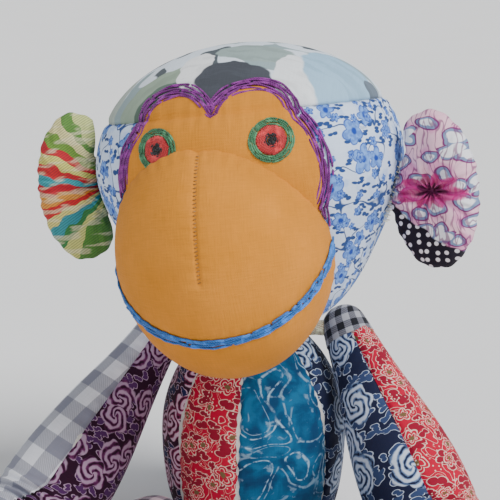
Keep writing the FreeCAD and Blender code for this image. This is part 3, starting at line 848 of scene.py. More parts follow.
@dataclass(frozen=True)
class Fanned:
    """Bright bands that fan out from the ear's gathered side, under fine dark slanting threads."""

    bands: tuple[Colour, ...]

    def make(self, name: str) -> Material:
        """The finished cloth."""
        loom = Loom(name)
        at = loom.warped(loom.flat, 16.0, 4.0)
        x, y, _ = loom.axes(at)
        angle = loom.math("ARCTAN2", y, loom.math("ADD", x, 20.0))
        sweep = loom.math("MULTIPLY_ADD", angle, 0.42, 0.42)
        fan = loom.math("MULTIPLY_ADD", loom.noise(loom.flat, 10.0, 1.0), 0.10, sweep)
        ramp = loom.tree.nodes.new("ShaderNodeValToRGB")
        ramp.color_ramp.interpolation = "CONSTANT"
        steps = ramp.color_ramp.elements
        while len(steps) < len(self.bands):
            steps.new(0.5)
        for i, (step, band) in enumerate(zip(steps, self.bands)):
            step.position = i / len(self.bands)
            step.color = (*band, 1.0)
        loom.feed(ramp.inputs[0], fan)
        loom.colour = ramp.outputs[0]
        light = loom.over(loom.noise(loom.turned(loom.flat, 20, (0.4, 1.6, 1)), 6.0, 1.0), 0.56, 0.05)
        loom.lay(loom.both(light, 0.5), dyed(240, 232, 190))
        fx, fy, _ = loom.axes(loom.flat)
        slant = loom.math("ADD", fx, loom.math("MULTIPLY", fy, 1.7))
        fine = loom.over(loom.math("SINE", loom.math("MULTIPLY", slant, 2.6)), 0.45, 0.3)
        loom.lay(loom.both(fine, 0.5), dyed(52, 58, 62))
        return loom.woven(weave=0.42)


@dataclass(frozen=True)
class Floss:
    """Stranded embroidery thread."""

    dye: Colour
    pitch: float = 0.55

    def make(self, name: str) -> Material:
        """The finished thread, whose flat coordinates run along it, with painted shade in its twist and painted
        highlights.
        """
        loom = Loom(name)
        x, y, _ = loom.axes(loom.flat)
        twist = loom.math("SINE", loom.math("MULTIPLY", loom.math("ADD", x, y), 2 * math.pi / self.pitch / 2.2))
        # painted light: lit is a lighter copy of the thread's colour, laid in scattered patches as a painted highlight;
        # low is a darker copy, laid in the grooves of the twist as painted shade, mixed with random fuzz
        lit = tuple(min(c * 1.5 + 0.02, 1.0) for c in self.dye)
        low = tuple(c * 0.6 for c in self.dye)
        fuzz_and_twist_shade = loom.math("MULTIPLY_ADD", loom.noise(loom.solid, 1.6, 2.0), 2.0, twist)
        loom.colour = loom.painted(low, loom.over(fuzz_and_twist_shade, 0.9, 1.1), self.dye)
        loom.lay(loom.over(loom.noise(loom.solid, 4.0, 1.0), 0.56, 0.1), lit)
        loom.feed(loom.shader.inputs["Base Color"], loom.colour)
        loom.embossed(twist, 0.2 * MM, 0.5)
        loom.shader.inputs["Roughness"].default_value = 0.55
        loom.shader.inputs["Specular IOR Level"].default_value = 0.4
        loom.shader.inputs["Sheen Weight"].default_value = 0.2
        return loom.material


@dataclass(frozen=True)
class Fibre:
    """Loose white stuffing."""

    dye: Colour

    def make(self, name: str) -> Material:
        """The finished fibre."""
        loom = Loom(name)
        strands = loom.noise(loom.warped(loom.solid, 6.0, 6.0), 1.4, 4.0)
        loom.colour = loom.painted(tuple(c * 0.8 for c in self.dye), strands, self.dye)
        loom.feed(loom.shader.inputs["Base Color"], loom.colour)
        loom.embossed(strands, 0.8 * MM)
        loom.shader.inputs["Roughness"].default_value = 1.0
        loom.shader.inputs["Sheen Weight"].default_value = 0.3
        return loom.material


CROWN_BLOTS = (
    Blot(-34, -57, 27, 11, 18, dyed(150, 168, 150)),
    Blot(-28, -62, 16, 5, 22, dyed(96, 116, 104)),
    Blot(-11, -52, 9, 17, -8, dyed(238, 240, 242)),
    Blot(17, -36, 21, 12, 4, dyed(150, 168, 166)),
    Blot(10, -62, 20, 12, -10, dyed(74, 78, 86)),
    Blot(38, -50, 10, 17, -24, dyed(236, 240, 243)),
    Blot(60, -34, 21, 25, -30, dyed(158, 196, 222)),
    Blot(73, -17, 6, 8, 10, dyed(108, 122, 136)),
    Blot(-62, -22, 14, 20, 24, dyed(178, 190, 182)),
)

FINISHES = {
    "ochre_cotton": PlainCotton(dyed(210, 134, 36)),
    "red_paisley": Scrolled(dyed(190, 8, 52), dyed(238, 206, 190), dyed(146, 16, 46), dyed(112, 92, 60)),
    "teal_batik": Batik(dyed(8, 60, 100), dyed(24, 104, 146), dyed(168, 200, 222)),
    "navy_floral": Roses(dyed(24, 30, 58), dyed(96, 120, 158), dyed(196, 208, 226), dyed(50, 66, 104)),
    "maroon_floral": Roses(dyed(52, 14, 40), dyed(142, 40, 88), dyed(220, 186, 208), dyed(36, 40, 84), 20.0),
    "plum_floral": Roses(dyed(46, 12, 40), dyed(104, 40, 92), dyed(180, 150, 178), dyed(80, 40, 92), 19.0),
    "gingham": Checked(dyed(236, 238, 246), dyed(168, 170, 182), dyed(140, 142, 158), 10.5),
    "grey_pink_check": Checked(dyed(196, 176, 186), dyed(132, 118, 132), dyed(84, 76, 90), 6.0),
    "black_grey_check": Checked(dyed(172, 172, 178), dyed(96, 96, 104), dyed(34, 34, 40), 4.5),
    "crown_print": LargeLeaves(dyed(222, 233, 244), CROWN_BLOTS),
    "blue_floral": Sprigged(dyed(214, 230, 254), dyed(120, 166, 236), dyed(30, 66, 164), dyed(44, 74, 132)),
    "butterfly_print": Winged(),
    "striped_twill": Fanned((
        dyed(88, 140, 60), dyed(204, 206, 120), dyed(60, 130, 70), dyed(60, 150, 160), dyed(216, 206, 120),
        dyed(206, 40, 44), dyed(224, 150, 60), dyed(200, 36, 52), dyed(60, 160, 170), dyed(206, 44, 50),
        dyed(214, 208, 110), dyed(196, 40, 50), dyed(110, 150, 60), dyed(222, 214, 150), dyed(96, 140, 64),
        dyed(196, 204, 130),
    )),
    "purple_thread": Floss(dyed(122, 20, 128)),
    "green_thread": Floss(dyed(62, 124, 84)),
    "red_thread": Floss(dyed(196, 40, 44)),
    "black_thread": Floss(dyed(22, 22, 28)),
    "blue_thread": Floss(dyed(28, 112, 196)),
    "tan_thread": Floss(dyed(150, 106, 54)),
    "cream_thread": Floss(dyed(226, 212, 180)),
    "stuffing": Fibre(dyed(236, 234, 228)),
}


# ---------------------------------------------------------------- torso and neck

@dataclass
class Torso:
    """Six long strips from a small seat to the neck, with their seams turned in."""

    room: Workroom
    seat_radius: float = 36 * MM
    height: float = 133 * MM
    top_radius: float = 19 * MM
    hip_radius: float = 55.5 * MM
    seam_depth: float = 1.5 * MM
    rows: int = 110
    columns: int = 44
    strips: dict[str, tuple[float, float, str]] = field(default_factory=lambda: {
        "torso_front_red": (-54.0, -10.0, "red_paisley"),
        "torso_front_teal": (-10.0, 51.0, "teal_batik"),
        "torso_side_navy": (51.0, 118.0, "navy_floral"),
        "torso_back_left": (118.0, 182.0, "plum_floral"),
        "torso_back_right": (182.0, 246.0, "gingham"),
        "torso_side_maroon": (246.0, 306.0, "maroon_floral"),
    })

    def profile(self) -> Array:
        """The outline from the seat to the neck, as radius and height."""
        shape = [(0.83, 0.08), (0.97, 0.25), (1.0, 0.42), (0.97, 0.60), (0.82, 0.78), (0.59, 0.91)]
        points = [(self.seat_radius, 0.0)]
        points += [(r * self.hip_radius, z * self.height) for r, z in shape]
        points.append((self.top_radius, self.height))
        return smooth_curve(points, self.rows)

    def strip(self, start: float, end: float) -> Cutting:
        """One strip, from seam to seam.

        Args:
            start: the azimuth of its first seam.
            end: the azimuth of its second seam.

        Returns:
            Its cloth.
        """
        profile = self.profile()
        span = math.radians(end - start)
        side = (1 - np.cos(np.linspace(0, math.pi, self.columns))) / 2
        angle = math.radians(start) + span * side
        along = np.r_[0, np.cumsum(np.linalg.norm(np.diff(profile, axis=0), axis=1))]
        radius = profile[:, :1] * np.ones_like(side)
        away = np.minimum(side, 1 - side)[None, :] * span * radius
        way = np.stack([np.sin(angle), -np.cos(angle)], axis=1)
        points = np.concatenate(
            [radius[..., None] * way[None], np.repeat(profile[:, 1], len(side)).reshape(len(profile), -1, 1)], axis=2
        )
        flat = points.reshape(-1, 3)
        puff = 0.5 * MM * ripple(flat, 34 * MM, 1)
        pleats = np.sin(along[:, None] / (7.5 * MM) * 2 * math.pi + 2.0 * np.sin(along[:, None] / (19 * MM)))
        pucker = 0.34 * MM * pleats * dip(away - 2.5 * MM, 4.5 * MM)
        gathers = 0.7 * MM * np.sin(angle * 17)[None, :] * dip(self.height - profile[:, 1:2], 12 * MM)
        depth = (
            puff.reshape(radius.shape) - self.seam_depth * dip(away, 1.5 * MM) - 0.9 * MM * dip(away, 6 * MM)
            + pucker + gathers - 0.4 * MM
        )
        slope = unit(np.gradient(profile, axis=0))
        points[..., :2] += (depth * slope[:, 1:2])[..., None] * way[None]
        points[..., 2] -= depth * slope[:, :1]
        points[..., 2] = np.maximum(points[..., 2], 0.3 * MM)
        spread = np.stack([radius * (angle - angle.mean()), along[:, None] + np.zeros_like(radius)], axis=2)
        return Cutting.grid(points, spread)

    def disc(self, radius: float, height: float, dome: float) -> Cutting:
        """A round of cloth, gathered to its edge.

        Args:
            radius: its radius.
            height: the height of its edge.
            dome: how far its middle stands off the edge.

        Returns:
            Its cloth.
        """
        rings, spokes = 14, 72
        t = np.linspace(0.02, 1, rings)[:, None]
        a = around(spokes)[None]
        lift = dome * (1 - t ** 2) + 0.25 * MM * np.sin(9 * a) * t * np.sign(dome)
        points = np.stack([radius * t * np.cos(a), radius * t * np.sin(a), height + lift + 0 * a], axis=2)
        cloth = Cutting.grid(points, points[..., :2], closed=True)
        return cloth.capped(spokes, [0, 0, height + dome])

    def build(self) -> None:
        """Makes and sews on the torso's pieces."""
        room, middle = self.room, np.array([0, 0, self.height / 2])
        for node, (start, end, finish) in self.strips.items():
            thing = room.backed(room.mesh(f"{node}_cloth", self.strip(start, end), finish, middle))
            room.sewn(thing, "torso", finish, node, fill=0.85)
        seat = self.disc(self.seat_radius - 1.6 * MM, 0.9 * MM, -0.5 * MM)
        seat = room.mesh("seat_cloth", seat, "grey_pink_check", middle)
        room.sewn(room.backed(seat), "torso", "grey_pink_check", "torso_seat", fill=0.7)
        top = self.disc(self.top_radius - 0.6 * MM, self.height - 0.8 * MM, 0.5 * MM)
        thing = room.backed(room.mesh("torso_top_cloth", top, "ochre_cotton", middle))
        room.sewn(thing, "torso", "ochre_cotton", "torso_top", fill=0.7)
        room.stuffing("torso_stuffing", "torso")


@dataclass
class Neck:
    """The gathered plug that the head turns on."""

    room: Workroom
    pivot: tuple[float, float, float] = (0.0, -4 * MM, 140 * MM)
    radius: float = 18.06 * MM
    floor: float = 133.4 * MM

    def build(self) -> None:
        """Makes the plug with its gathers."""
        spokes, rings = 96, 30
        low = math.asin((self.floor - self.pivot[2]) / self.radius)
        e = np.linspace(low, math.pi / 2 - 0.03, rings)[:, None]
        a = around(spokes)[None]
        radius = self.radius - 0.3 * MM + 0.25 * MM * np.sin(13 * a) * np.cos(e)
        ball = np.stack([radius * np.cos(e) * np.cos(a), radius * np.cos(e) * np.sin(a), radius * np.sin(e)], axis=2)
        flat = np.stack([a * self.radius + 0 * e, e * self.radius + 0 * a], axis=2)
        cloth = Cutting.grid(ball + np.array(self.pivot), flat, closed=True)
        pole, ring = len(cloth.points), (rings - 1) * spokes
        top, base = np.array(self.pivot) + [0, 0, self.radius - 0.3 * MM], [self.pivot[0], self.pivot[1], self.floor]
        cloth.points = np.vstack([cloth.points, top, base])
        cloth.flat = np.vstack([cloth.flat, [[0, 0]], [[0, 0]]])
        for j in range(spokes):
            k = (j + 1) % spokes
            cloth.faces += [(ring + j, ring + k, pole), (k, j, pole + 1)]
        thing = self.room.mesh("neck_plug_cloth", cloth, "ochre_cotton", np.array(self.pivot))
        self.room.sewn(thing, "neck", "ochre_cotton", "neck_plug", fill=0.9)


# ---------------------------------------------------------------- head

@dataclass
class Head:
    """The stuffed head: a crown, two sides, a heart-shaped face and a large muzzle, with its embroidery."""

    room: Workroom
    half_width: float = 84 * MM
    centre: tuple[float, float, float] = (0.0, -28 * MM, 211.988 * MM)
    turn: float = -12.0
    tip: float = -6.0
    tilt: float = -7.0
    crown_seam: float = 0.595
    muzzle_size: tuple[float, float, float] = (0.661, 0.702, 0.786)
    muzzle_centre: tuple[float, float, float] = (-0.071, -0.571, -0.226)
    face_half: float = 0.601
    face_lobe: float = 0.738
    face_notch: float = 0.607
    face_chin: float = 0.714
    outline_width: float = 0.077
    eye_azimuth: float = 20.0
    eye_elevation: float = 23.0
    eye_radius: float = 0.121
    smile_drop: float = 42.0
    smile_offset: float = 4 * MM
    dart_end: float = -8 * MM

    def __post_init__(self) -> None:
        """Works out the profile, the frame and the muzzle's real sizes."""
        shape = [
            (0, -0.87), (0.30, -0.83), (0.56, -0.66), (0.81, -0.28), (1.0, 0.28), (0.80, 0.74), (0.41, 0.96), (0, 1.02),
        ]
        mirrored = [(-0.30, -0.83)] + shape + [(-0.41, 0.96)]
        curve = smooth_curve([(r * self.half_width, z * self.half_width) for r, z in mirrored], 2400)
        inside = np.flatnonzero(curve[:, 0] >= 0)
        self.curve = curve[inside[0]:inside[-1] + 1]
        self.curve[[0, -1], 0] = 0
        self.place = Place(
            np.array(self.centre), turn_about("z", self.turn) @ turn_about("x", self.tip) @ turn_about("y", self.tilt)
        )
        self.size = np.array(self.muzzle_size) * self.half_width
        self.middle = np.array(self.muzzle_centre) * self.half_width

    # ---- the surfaces, in the head's own frame

    def radius_at(self, height: Array) -> Array:
        """The head's radius at a height."""
        return np.interp(height, self.curve[:, 1], self.curve[:, 0], left=0.0, right=0.0)

    def relief(self, points: Array) -> Array:
        """How far the stuffing lifts the head's cloth, with the shared seams drawn in."""
        lumps = 0.55 * MM * ripple(points, 46 * MM, 2) - 0.35 * MM
        seam = np.abs(points[:, 2] - self.crown_seam * self.half_width)
        azimuth = np.arctan2(points[:, 0], -points[:, 1])
        wave = np.sin(azimuth * 62 + 2.2 * np.sin(azimuth * 9)) * dip(seam - 2.5 * MM, 4 * MM)
        back = np.where(points[:, 1] > 0, np.abs(points[:, 0]), 1.0)
        pleats = np.sin(points[:, 2] / (7 * MM) * 2 * math.pi) * dip(back - 2.5 * MM, 4 * MM)
        grooves = (
            1.3 * dip(seam, 1.4 * MM) + 0.7 * dip(seam, 5 * MM) + 1.2 * dip(back, 1.4 * MM) + 0.7 * dip(back, 5 * MM)
        )
        gathers = np.sin(azimuth * 22) * dip(points[:, 2] + 0.87 * self.half_width, 12 * MM)
        return lumps - MM * grooves + 0.22 * MM * (wave + pleats) + 0.5 * MM * gathers

    def on_head(self, azimuth: Array, height: Array, lift: Array | float = 0.0) -> Array:
        """Places on the head's cloth.

        Args:
            azimuth: angles from straight ahead, towards the toy's left.
            height: heights in the head's frame.
            lift: how far above the cloth.

        Returns:
            The places, in the head's own frame.
        """
        height = np.asarray(height, float) + 0 * azimuth
        radius = self.radius_at(height)
        slope = (self.radius_at(height + 0.4 * MM) - self.radius_at(height - 0.4 * MM)) / (0.8 * MM)
        slope = np.clip(slope, -12, 12)
        points = np.stack([radius * np.sin(azimuth), -radius * np.cos(azimuth), height], axis=-1)
        normal = unit(np.stack([np.sin(azimuth), -np.cos(azimuth), -slope], axis=-1))
        flat = points.reshape(-1, 3)
        raised = self.relief(flat).reshape(radius.shape) + lift
        return points + normal * raised[..., None]

    def on_face(self, x: Array, z: Array, lift: float | Array = 0.0) -> Array:
        """Places on the front of the head, over points of a flat picture plane."""
        radius = np.maximum(self.radius_at(z), 1 * MM)
        return self.on_head(np.arcsin(np.clip(x / radius, -1, 1)), z, lift)

    def in_head(self, points: Array) -> Array:
        """Whether places are within the head's form."""
        return np.hypot(points[..., 0], points[..., 1]) < self.radius_at(points[..., 2])

    def muzzle_relief(self, points: Array) -> Array:
        """How far the muzzle's cloth stands, with its dart and smile drawn in."""
        local = points - self.middle
        below = np.hypot(local[:, 0], local[:, 2] - self.dart_end)
        dart = np.where(local[:, 2] > self.dart_end, np.abs(local[:, 0]), below)
        plane = local @ heading(0, 90 - self.smile_drop) - self.smile_offset
        front = np.where(local[:, 1] < 0.2 * self.size[1], 1.0, 0.0)
        lumps = 0.45 * MM * ripple(points, 40 * MM, 3)
        pulls = np.sin(local[:, 2] / (6.0 * MM) * 2 * math.pi) * dip(dart - 2.5 * MM, 4 * MM)
        tucks = np.sin(np.arctan2(local[:, 0], -local[:, 1]) * 58) * dip(np.abs(plane) - 4 * MM, 3.5 * MM)
        return (
            lumps - front * MM * (0.75 * dip(dart, 1.3 * MM) + 0.5 * dip(dart, 4.5 * MM) + 0.7 * dip(plane, 3.4 * MM))
            + 0.16 * MM * front * (pulls + tucks)
        )

    def on_muzzle(self, directions: Array, lift: float | Array = 0.0) -> Array:
        """Places on the muzzle, in given directions from its middle."""
        reach = 1 / np.sqrt(((directions / self.size) ** 2).sum(axis=-1, keepdims=True))
        points = self.middle + directions * reach
        normal = unit((points - self.middle) / self.size ** 2)
        raised = self.muzzle_relief(points.reshape(-1, 3)).reshape(points.shape[:-1]) + lift
        return points + normal * raised[..., None]

    def sides_of(self, cutting: Cutting) -> Cutting:
        """The cutting moved from the head's own frame into the toy's."""
        cutting.points = self.place.out(cutting.points)
        return cutting

    def heart(self, count: int, grow: float = 0.0) -> Array:
        """The face's outline on the picture plane, from the chin round by the toy's left, evenly spaced."""
        half, lobe, notch = (v * self.half_width for v in (self.face_half, self.face_lobe, self.face_notch))
        chin = -self.face_chin * self.half_width
        right = arc_through((0.92 * half, 0), (half, 0.37 * lobe), (0.80 * half, 0.73 * lobe))
        top = arc_through((0.80 * half, 0.73 * lobe), (0.37 * half, lobe), (0, notch))
        below = arc_through((0, chin), (0.72 * half, 0.62 * chin), (0.92 * half, 0))
        one = np.concatenate([below[:-1], right[:-1], top])
        other = one[::-1][1:-1] * [-1, 1]
        loop = np.concatenate([one, other, one[:1]])
        along = np.r_[0, np.cumsum(np.linalg.norm(np.diff(loop, axis=0), axis=1))]
        at = np.linspace(0, along[-1], count, endpoint=False)
        line = np.stack([np.interp(at, along, loop[:, k]) for k in (0, 1)], axis=1)
        if grow:
            ahead = unit(np.roll(line, -1, axis=0) - np.roll(line, 1, axis=0))
            line = line + np.stack([ahead[:, 1], -ahead[:, 0]], axis=1) * grow
        return line

    # ---- the cloth

    def crown(self) -> Cutting:
        """The cap above the crown seam, closed at the top."""
        rows, spokes = 60, 220
        low = np.searchsorted(self.curve[:, 1], self.crown_seam * self.half_width)
        along = np.linspace(low, len(self.curve) - 8, rows)
        height = np.interp(along, np.arange(len(self.curve)), self.curve[:, 1])[:, None]
        azimuth = around(spokes)[None]
        points = self.on_head(azimuth + 0 * height, height + 0 * azimuth)
        cloth = Cutting.grid(points, points[..., :2], closed=True)
        pole, ring = len(cloth.points), (rows - 1) * spokes
        cloth.points = np.vstack([cloth.points, cloth.points[ring:].mean(axis=0)])
        cloth.flat = np.vstack([cloth.flat, [[0, 0]]])
        cloth.faces += [(ring + j, ring + (j + 1) % spokes, pole) for j in range(spokes)]
        return self.sides_of(cloth)

    def flank(self, side: Side) -> Cutting:
        """One side of the head, from the middle of the front under the face round to the back seam."""
        rows, columns = 120, 130
        high = np.searchsorted(self.curve[:, 1], self.crown_seam * self.half_width)
        index = np.linspace(6, high, rows)
        radius, height = (np.interp(index, np.arange(len(self.curve)), self.curve[:, k])[:, None] for k in (0, 1))
        azimuth = np.linspace(0, math.pi, columns)[None] * side.value
        points = self.on_head(azimuth + 0 * height, height + 0 * azimuth)
        along = np.r_[0, np.cumsum(np.hypot(np.diff(radius[:, 0]), np.diff(height[:, 0])))][:, None]
        flat = np.stack([azimuth * np.sqrt(radius * self.half_width), along + 0 * azimuth], axis=2)
        return self.sides_of(Cutting.grid(points, flat))

    def face(self) -> Cutting:
        """The heart-shaped face, laid over the crown and sides."""
        rings, spokes = 46, 260
        outline = self.heart(spokes)
        middle = np.array([0.0, -2 * MM])
        t = np.linspace(0, 1, rings + 1)[1:, None, None]
        spread = middle + (outline - middle)[None] * t
        radius = self.radius_at(spread[..., 1])
        spread[..., 0] = np.clip(spread[..., 0], -0.985 * radius, 0.985 * radius)
        edge = np.linalg.norm(outline - middle, axis=1)[None] * (1 - t[..., 0])
        lift = 0.9 * MM - 1.0 * MM * dip(edge, 1.8 * MM) + 0.2 * MM * ripple(
            np.concatenate([spread, spread[..., :1] * 0], axis=2).reshape(-1, 3), 18 * MM, 4).reshape(radius.shape)
        for azimuth in (-self.eye_azimuth, self.eye_azimuth):
            eye = self.eye_centre(azimuth)
            away = np.linalg.norm(spread - eye[[0, 2]], axis=2)
            lift -= 0.7 * MM * dip(away, 0.9 * self.eye_radius * self.half_width)
        points = self.on_face(spread[..., 0], spread[..., 1], lift)
        cloth = Cutting.grid(points, spread, closed=True)
        return self.sides_of(cloth.capped(spokes, flat=middle))

    def muzzle(self) -> Cutting:
        """The muzzle, closed at its front and turned in where it meets the face."""
        rings, spokes = 120, 240
        turns = around(spokes)
        tilt = np.linspace(0.01, math.pi, 400)
        ways = np.stack([
            np.sin(tilt)[:, None] * np.cos(turns), -np.cos(tilt)[:, None] + 0 * turns,
            np.sin(tilt)[:, None] * np.sin(turns),
        ], axis=2)
        reach = 1 / np.sqrt(((ways / self.size) ** 2).sum(axis=2, keepdims=True))
        hidden = self.in_head(self.middle + ways * reach)
        last = np.array([np.flatnonzero(hidden[:, j])[0] for j in range(spokes)])
        last = np.convolve(np.r_[last[-4:], last, last[:4]], np.ones(9) / 9, "valid")
        stop = np.interp(last, np.arange(400), tilt) + 0.03
        angle = stop[None] * np.linspace(0.006, 1, rings)[:, None]
        way = np.stack([np.sin(angle) * np.cos(turns), -np.cos(angle), np.sin(angle) * np.sin(turns)], axis=2)
        edge = (stop[None] - angle) * self.size.mean()
        tuck = -0.5 * MM * dip(edge, 3.5 * MM) + 0.25 * MM * np.sin(turns * 46)[None] * dip(edge - 6 * MM, 5 * MM)
        points = self.on_muzzle(way, tuck)
        flat = np.stack([angle * np.cos(turns), angle * np.sin(turns)], axis=2) * self.size.mean()
        cloth = Cutting.grid(points, flat, closed=True)
        return self.sides_of(cloth.capped(spokes))

    # ---- the embroidery

    def eye_centre(self, azimuth: float) -> Array:
        """The middle of an eye, on the head's form."""
        way = heading(azimuth, self.eye_elevation)
        reach = np.linspace(0.5, 1.2, 800)[:, None] * self.half_width
        inside = self.in_head(way * reach)
        return way * reach[np.flatnonzero(inside)[-1]]

    def stitches(self, lines: list[tuple[Array, float]]) -> Cutting:
        """Threads laid along lines, each a round strand with closed ends.

        Args:
            lines: the points of each strand in the head's own frame, and its radius.

        Returns:
            The strands, with flat coordinates along and round them.
        """
        made = []
        for points, radius in lines:
            outward = unit(points)
            ahead = unit(np.gradient(points, axis=0))
            aside = unit(np.cross(ahead, outward))
            rise = np.cross(aside, ahead)
            made.append(strand(points, aside, rise, radius))
        return self.sides_of(Cutting.joined(made))

    def outline(self) -> Cutting:
        """Rows of chain stitch round the face, above the muzzle."""
        width, lines = self.outline_width * self.half_width, []
        pick = np.random.default_rng(11)
        for row, across in enumerate(np.linspace(-0.5, 0.5, 7)):
            line = self.heart(620, across * (width - 1.0 * MM))
            s = np.arange(len(line))
            sway = 0.34 * MM * np.sin(s / 6.5 + row * 2.1) + 0.3 * MM * np.sin(s / 23 + row)
            ahead = unit(np.roll(line, -1, axis=0) - np.roll(line, 1, axis=0))
            line = line + np.stack([ahead[:, 1], -ahead[:, 0]], axis=1) * sway[:, None]
            lift = 0.75 * MM + 0.24 * MM * np.sin(s / 3.4 + row * 1.7)
            points = self.on_face(line[:, 0], line[:, 1], lift)
            reach = (((points - self.middle) / (self.size + 0.6 * MM)) ** 2).sum(axis=1)
            keep = (reach > 1) & (points[:, 2] > self.middle[2])
            order = np.roll(np.arange(len(line)), -int(np.flatnonzero(~keep)[0]))
            run = [i for i in order if keep[i]]
            cuts = sorted(pick.choice(np.arange(30, len(run) - 30), 9, replace=False).tolist())
            for a, b in zip([0] + cuts, cuts + [len(run)]):
                if b - a > 5:
                    lines.append((points[run[a:b]], 0.56 * MM))
        return self.stitches(lines)

    def smile(self) -> Cutting:
        """Rows of running thread across the muzzle."""
        up = heading(0, 90 - self.smile_drop)
        front = heading(0, -self.smile_drop)
        pick, lines = np.random.default_rng(12), []
        for row, across in enumerate(np.linspace(-0.5, 0.5, 5)):
            angle = np.linspace(-2.2, 2.2, 420)
            s = np.arange(len(angle))
            level = self.smile_offset + across * 4.4 * MM
            level = level + 0.28 * MM * np.sin(s / 7 + row * 2) + 0.35 * MM * np.sin(s / 31 + row)
            way = np.sin(angle)[:, None] * [1, 0, 0] + np.cos(angle)[:, None] * front
            for _ in range(6):
                reach = 1 / np.sqrt(((unit(way) / self.size) ** 2).sum(axis=1))
                way = unit(way - ((unit(way) * reach[:, None]) @ up - level)[:, None] * up / reach[:, None])
            points = self.on_muzzle(way, 0.85 * MM + 0.2 * MM * np.sin(s / 3.0 + row))
            keep = np.flatnonzero(~self.in_head(points * 0.985))
            cuts = sorted(pick.choice(np.arange(20, len(keep) - 20), 8, replace=False).tolist())
            for a, b in zip([0] + cuts, cuts + [len(keep)]):
                if b - a > 5:
                    lines.append((points[keep[a:b]], 0.58 * MM))
        return self.stitches(lines)

    def dart(self) -> Cutting:
        """Small whip stitches across the muzzle's dart."""
        lines = []
        top = math.acos(self.dart_end / self.size[2])
        for step in np.arange(0.0, 1.0, 1 / 34):
            angle = top + (0.62 - top) * step
            points = []
            for across in np.linspace(-0.9 * MM, 0.9 * MM, 5):
                way = np.array([across / self.size[1] * 1.1, -math.sin(angle), math.cos(angle)])
                arch = 0.35 * MM * (1 - (across / (0.9 * MM)) ** 2)
                points.append(self.on_muzzle(unit(way[None] + [[0, 0, 0.3 * across / self.size[1]]]), arch)[0])
            if not self.in_head(points[2] * 0.985):
                lines.append((np.array(points), 0.22 * MM))
        return self.stitches(lines)

    def eye(self, azimuth: float, inner: float, outer: float, radial: bool, seed: int, thread: float) -> list:
        """The strands of one ring of an eye.

        Args:
            azimuth: the eye's place.
            inner: the ring's inner radius.
            outer: the ring's outer radius.
            radial: whether its stitches run outwards rather than round.
            seed: which unevenness.
            thread: the thread's radius.

        Returns:
            The strands.
        """
        centre, pick, lines = self.eye_centre(azimuth), np.random.default_rng(seed), []
        if radial:
            count = int(2 * math.pi * outer / (1.35 * thread))
            for i in range(count):
                a = 2 * math.pi * (i + pick.uniform(-0.3, 0.3)) / count
                r = np.linspace(inner * pick.uniform(0.7, 1.1), outer * pick.uniform(0.94, 1.05), 6)
                bow = 0.35 * MM * np.sin(np.linspace(0, math.pi, 6)) + 0.45 * MM
                points = self.on_face(centre[0] + r * math.cos(a), centre[2] + r * math.sin(a), 0.4 * MM + bow)
                lines.append((points, thread))
            return lines
        for radius in np.arange(inner + thread, outer, 1.7 * thread):
            pieces = max(5, int(2 * math.pi * radius / (5.5 * MM)))
            start = pick.uniform(0, 2 * math.pi)
            for i in range(pieces):
                a = start + 2 * math.pi * (i + np.linspace(-0.08, 1.04, 8)) / pieces
                r = radius + pick.uniform(-0.2, 0.2) * MM
                bow = 0.35 * MM * np.sin(np.linspace(0, math.pi, 8)) + 0.35 * MM
                points = self.on_face(centre[0] + r * np.cos(a), centre[2] + r * np.sin(a), 0.4 * MM + bow)
                lines.append((points, thread * pick.uniform(0.85, 1.1)))
        return lines

    def build(self) -> None:
        """Makes and sews on the head's pieces."""
        room, inside = self.room, np.array(self.centre)
        for node, cloth, finish in (
            ("head_crown", self.crown(), "crown_print"),
            ("head_side_left", self.flank(Side.LEFT), "blue_floral"),
            ("head_side_right", self.flank(Side.RIGHT), "blue_floral"),
            ("face_panel", self.face(), "ochre_cotton"),
        ):
            thing = room.backed(room.mesh(f"{node}_cloth", cloth, finish, inside), 0.8 * MM)
            room.sewn(thing, "head", finish, node, fill=0.9)
        inside = self.place.out(self.middle[None])[0]
        thing = room.backed(room.mesh("muzzle_cloth", self.muzzle(), "ochre_cotton", inside))
        room.sewn(thing, "head", "ochre_cotton", "muzzle_panel", fill=0.95)
        size = self.eye_radius * self.half_width
        iris, pupil = 0.69 * size, 0.29 * size
        green, red, black = [], [], []
        for azimuth, seed in ((self.eye_azimuth, 21), (-self.eye_azimuth, 31)):
            green += self.eye(azimuth, iris, size, False, seed, 0.5 * MM)
            red += self.eye(azimuth, pupil * 0.8, iris * 1.04, True, seed + 1, 0.42 * MM)
            black += self.eye(azimuth, 0.0, pupil * 1.15, False, seed + 2, 0.5 * MM)
        threads = (
            ("face_outline_thread", self.outline(), "purple_thread"),
            ("smile_thread", self.smile(), "blue_thread"),
            ("muzzle_dart_thread", self.dart(), "tan_thread"),
            ("eye_green_thread", self.stitches(green), "green_thread"),
            ("eye_red_thread", self.stitches(red), "red_thread"),
            ("eye_black_thread", self.stitches(black), "black_thread"),
        )
        for node, cutting, finish in threads:
            thing = room.mesh(f"{node}_stitches", cutting, finish)
            recalculated(thing)
            room.sewn(thing, "head", finish, node)
        room.stuffing("head_stuffing", "head", 1.6 * MM)
        room.stuffing("muzzle_stuffing", "head", 1.6 * MM)


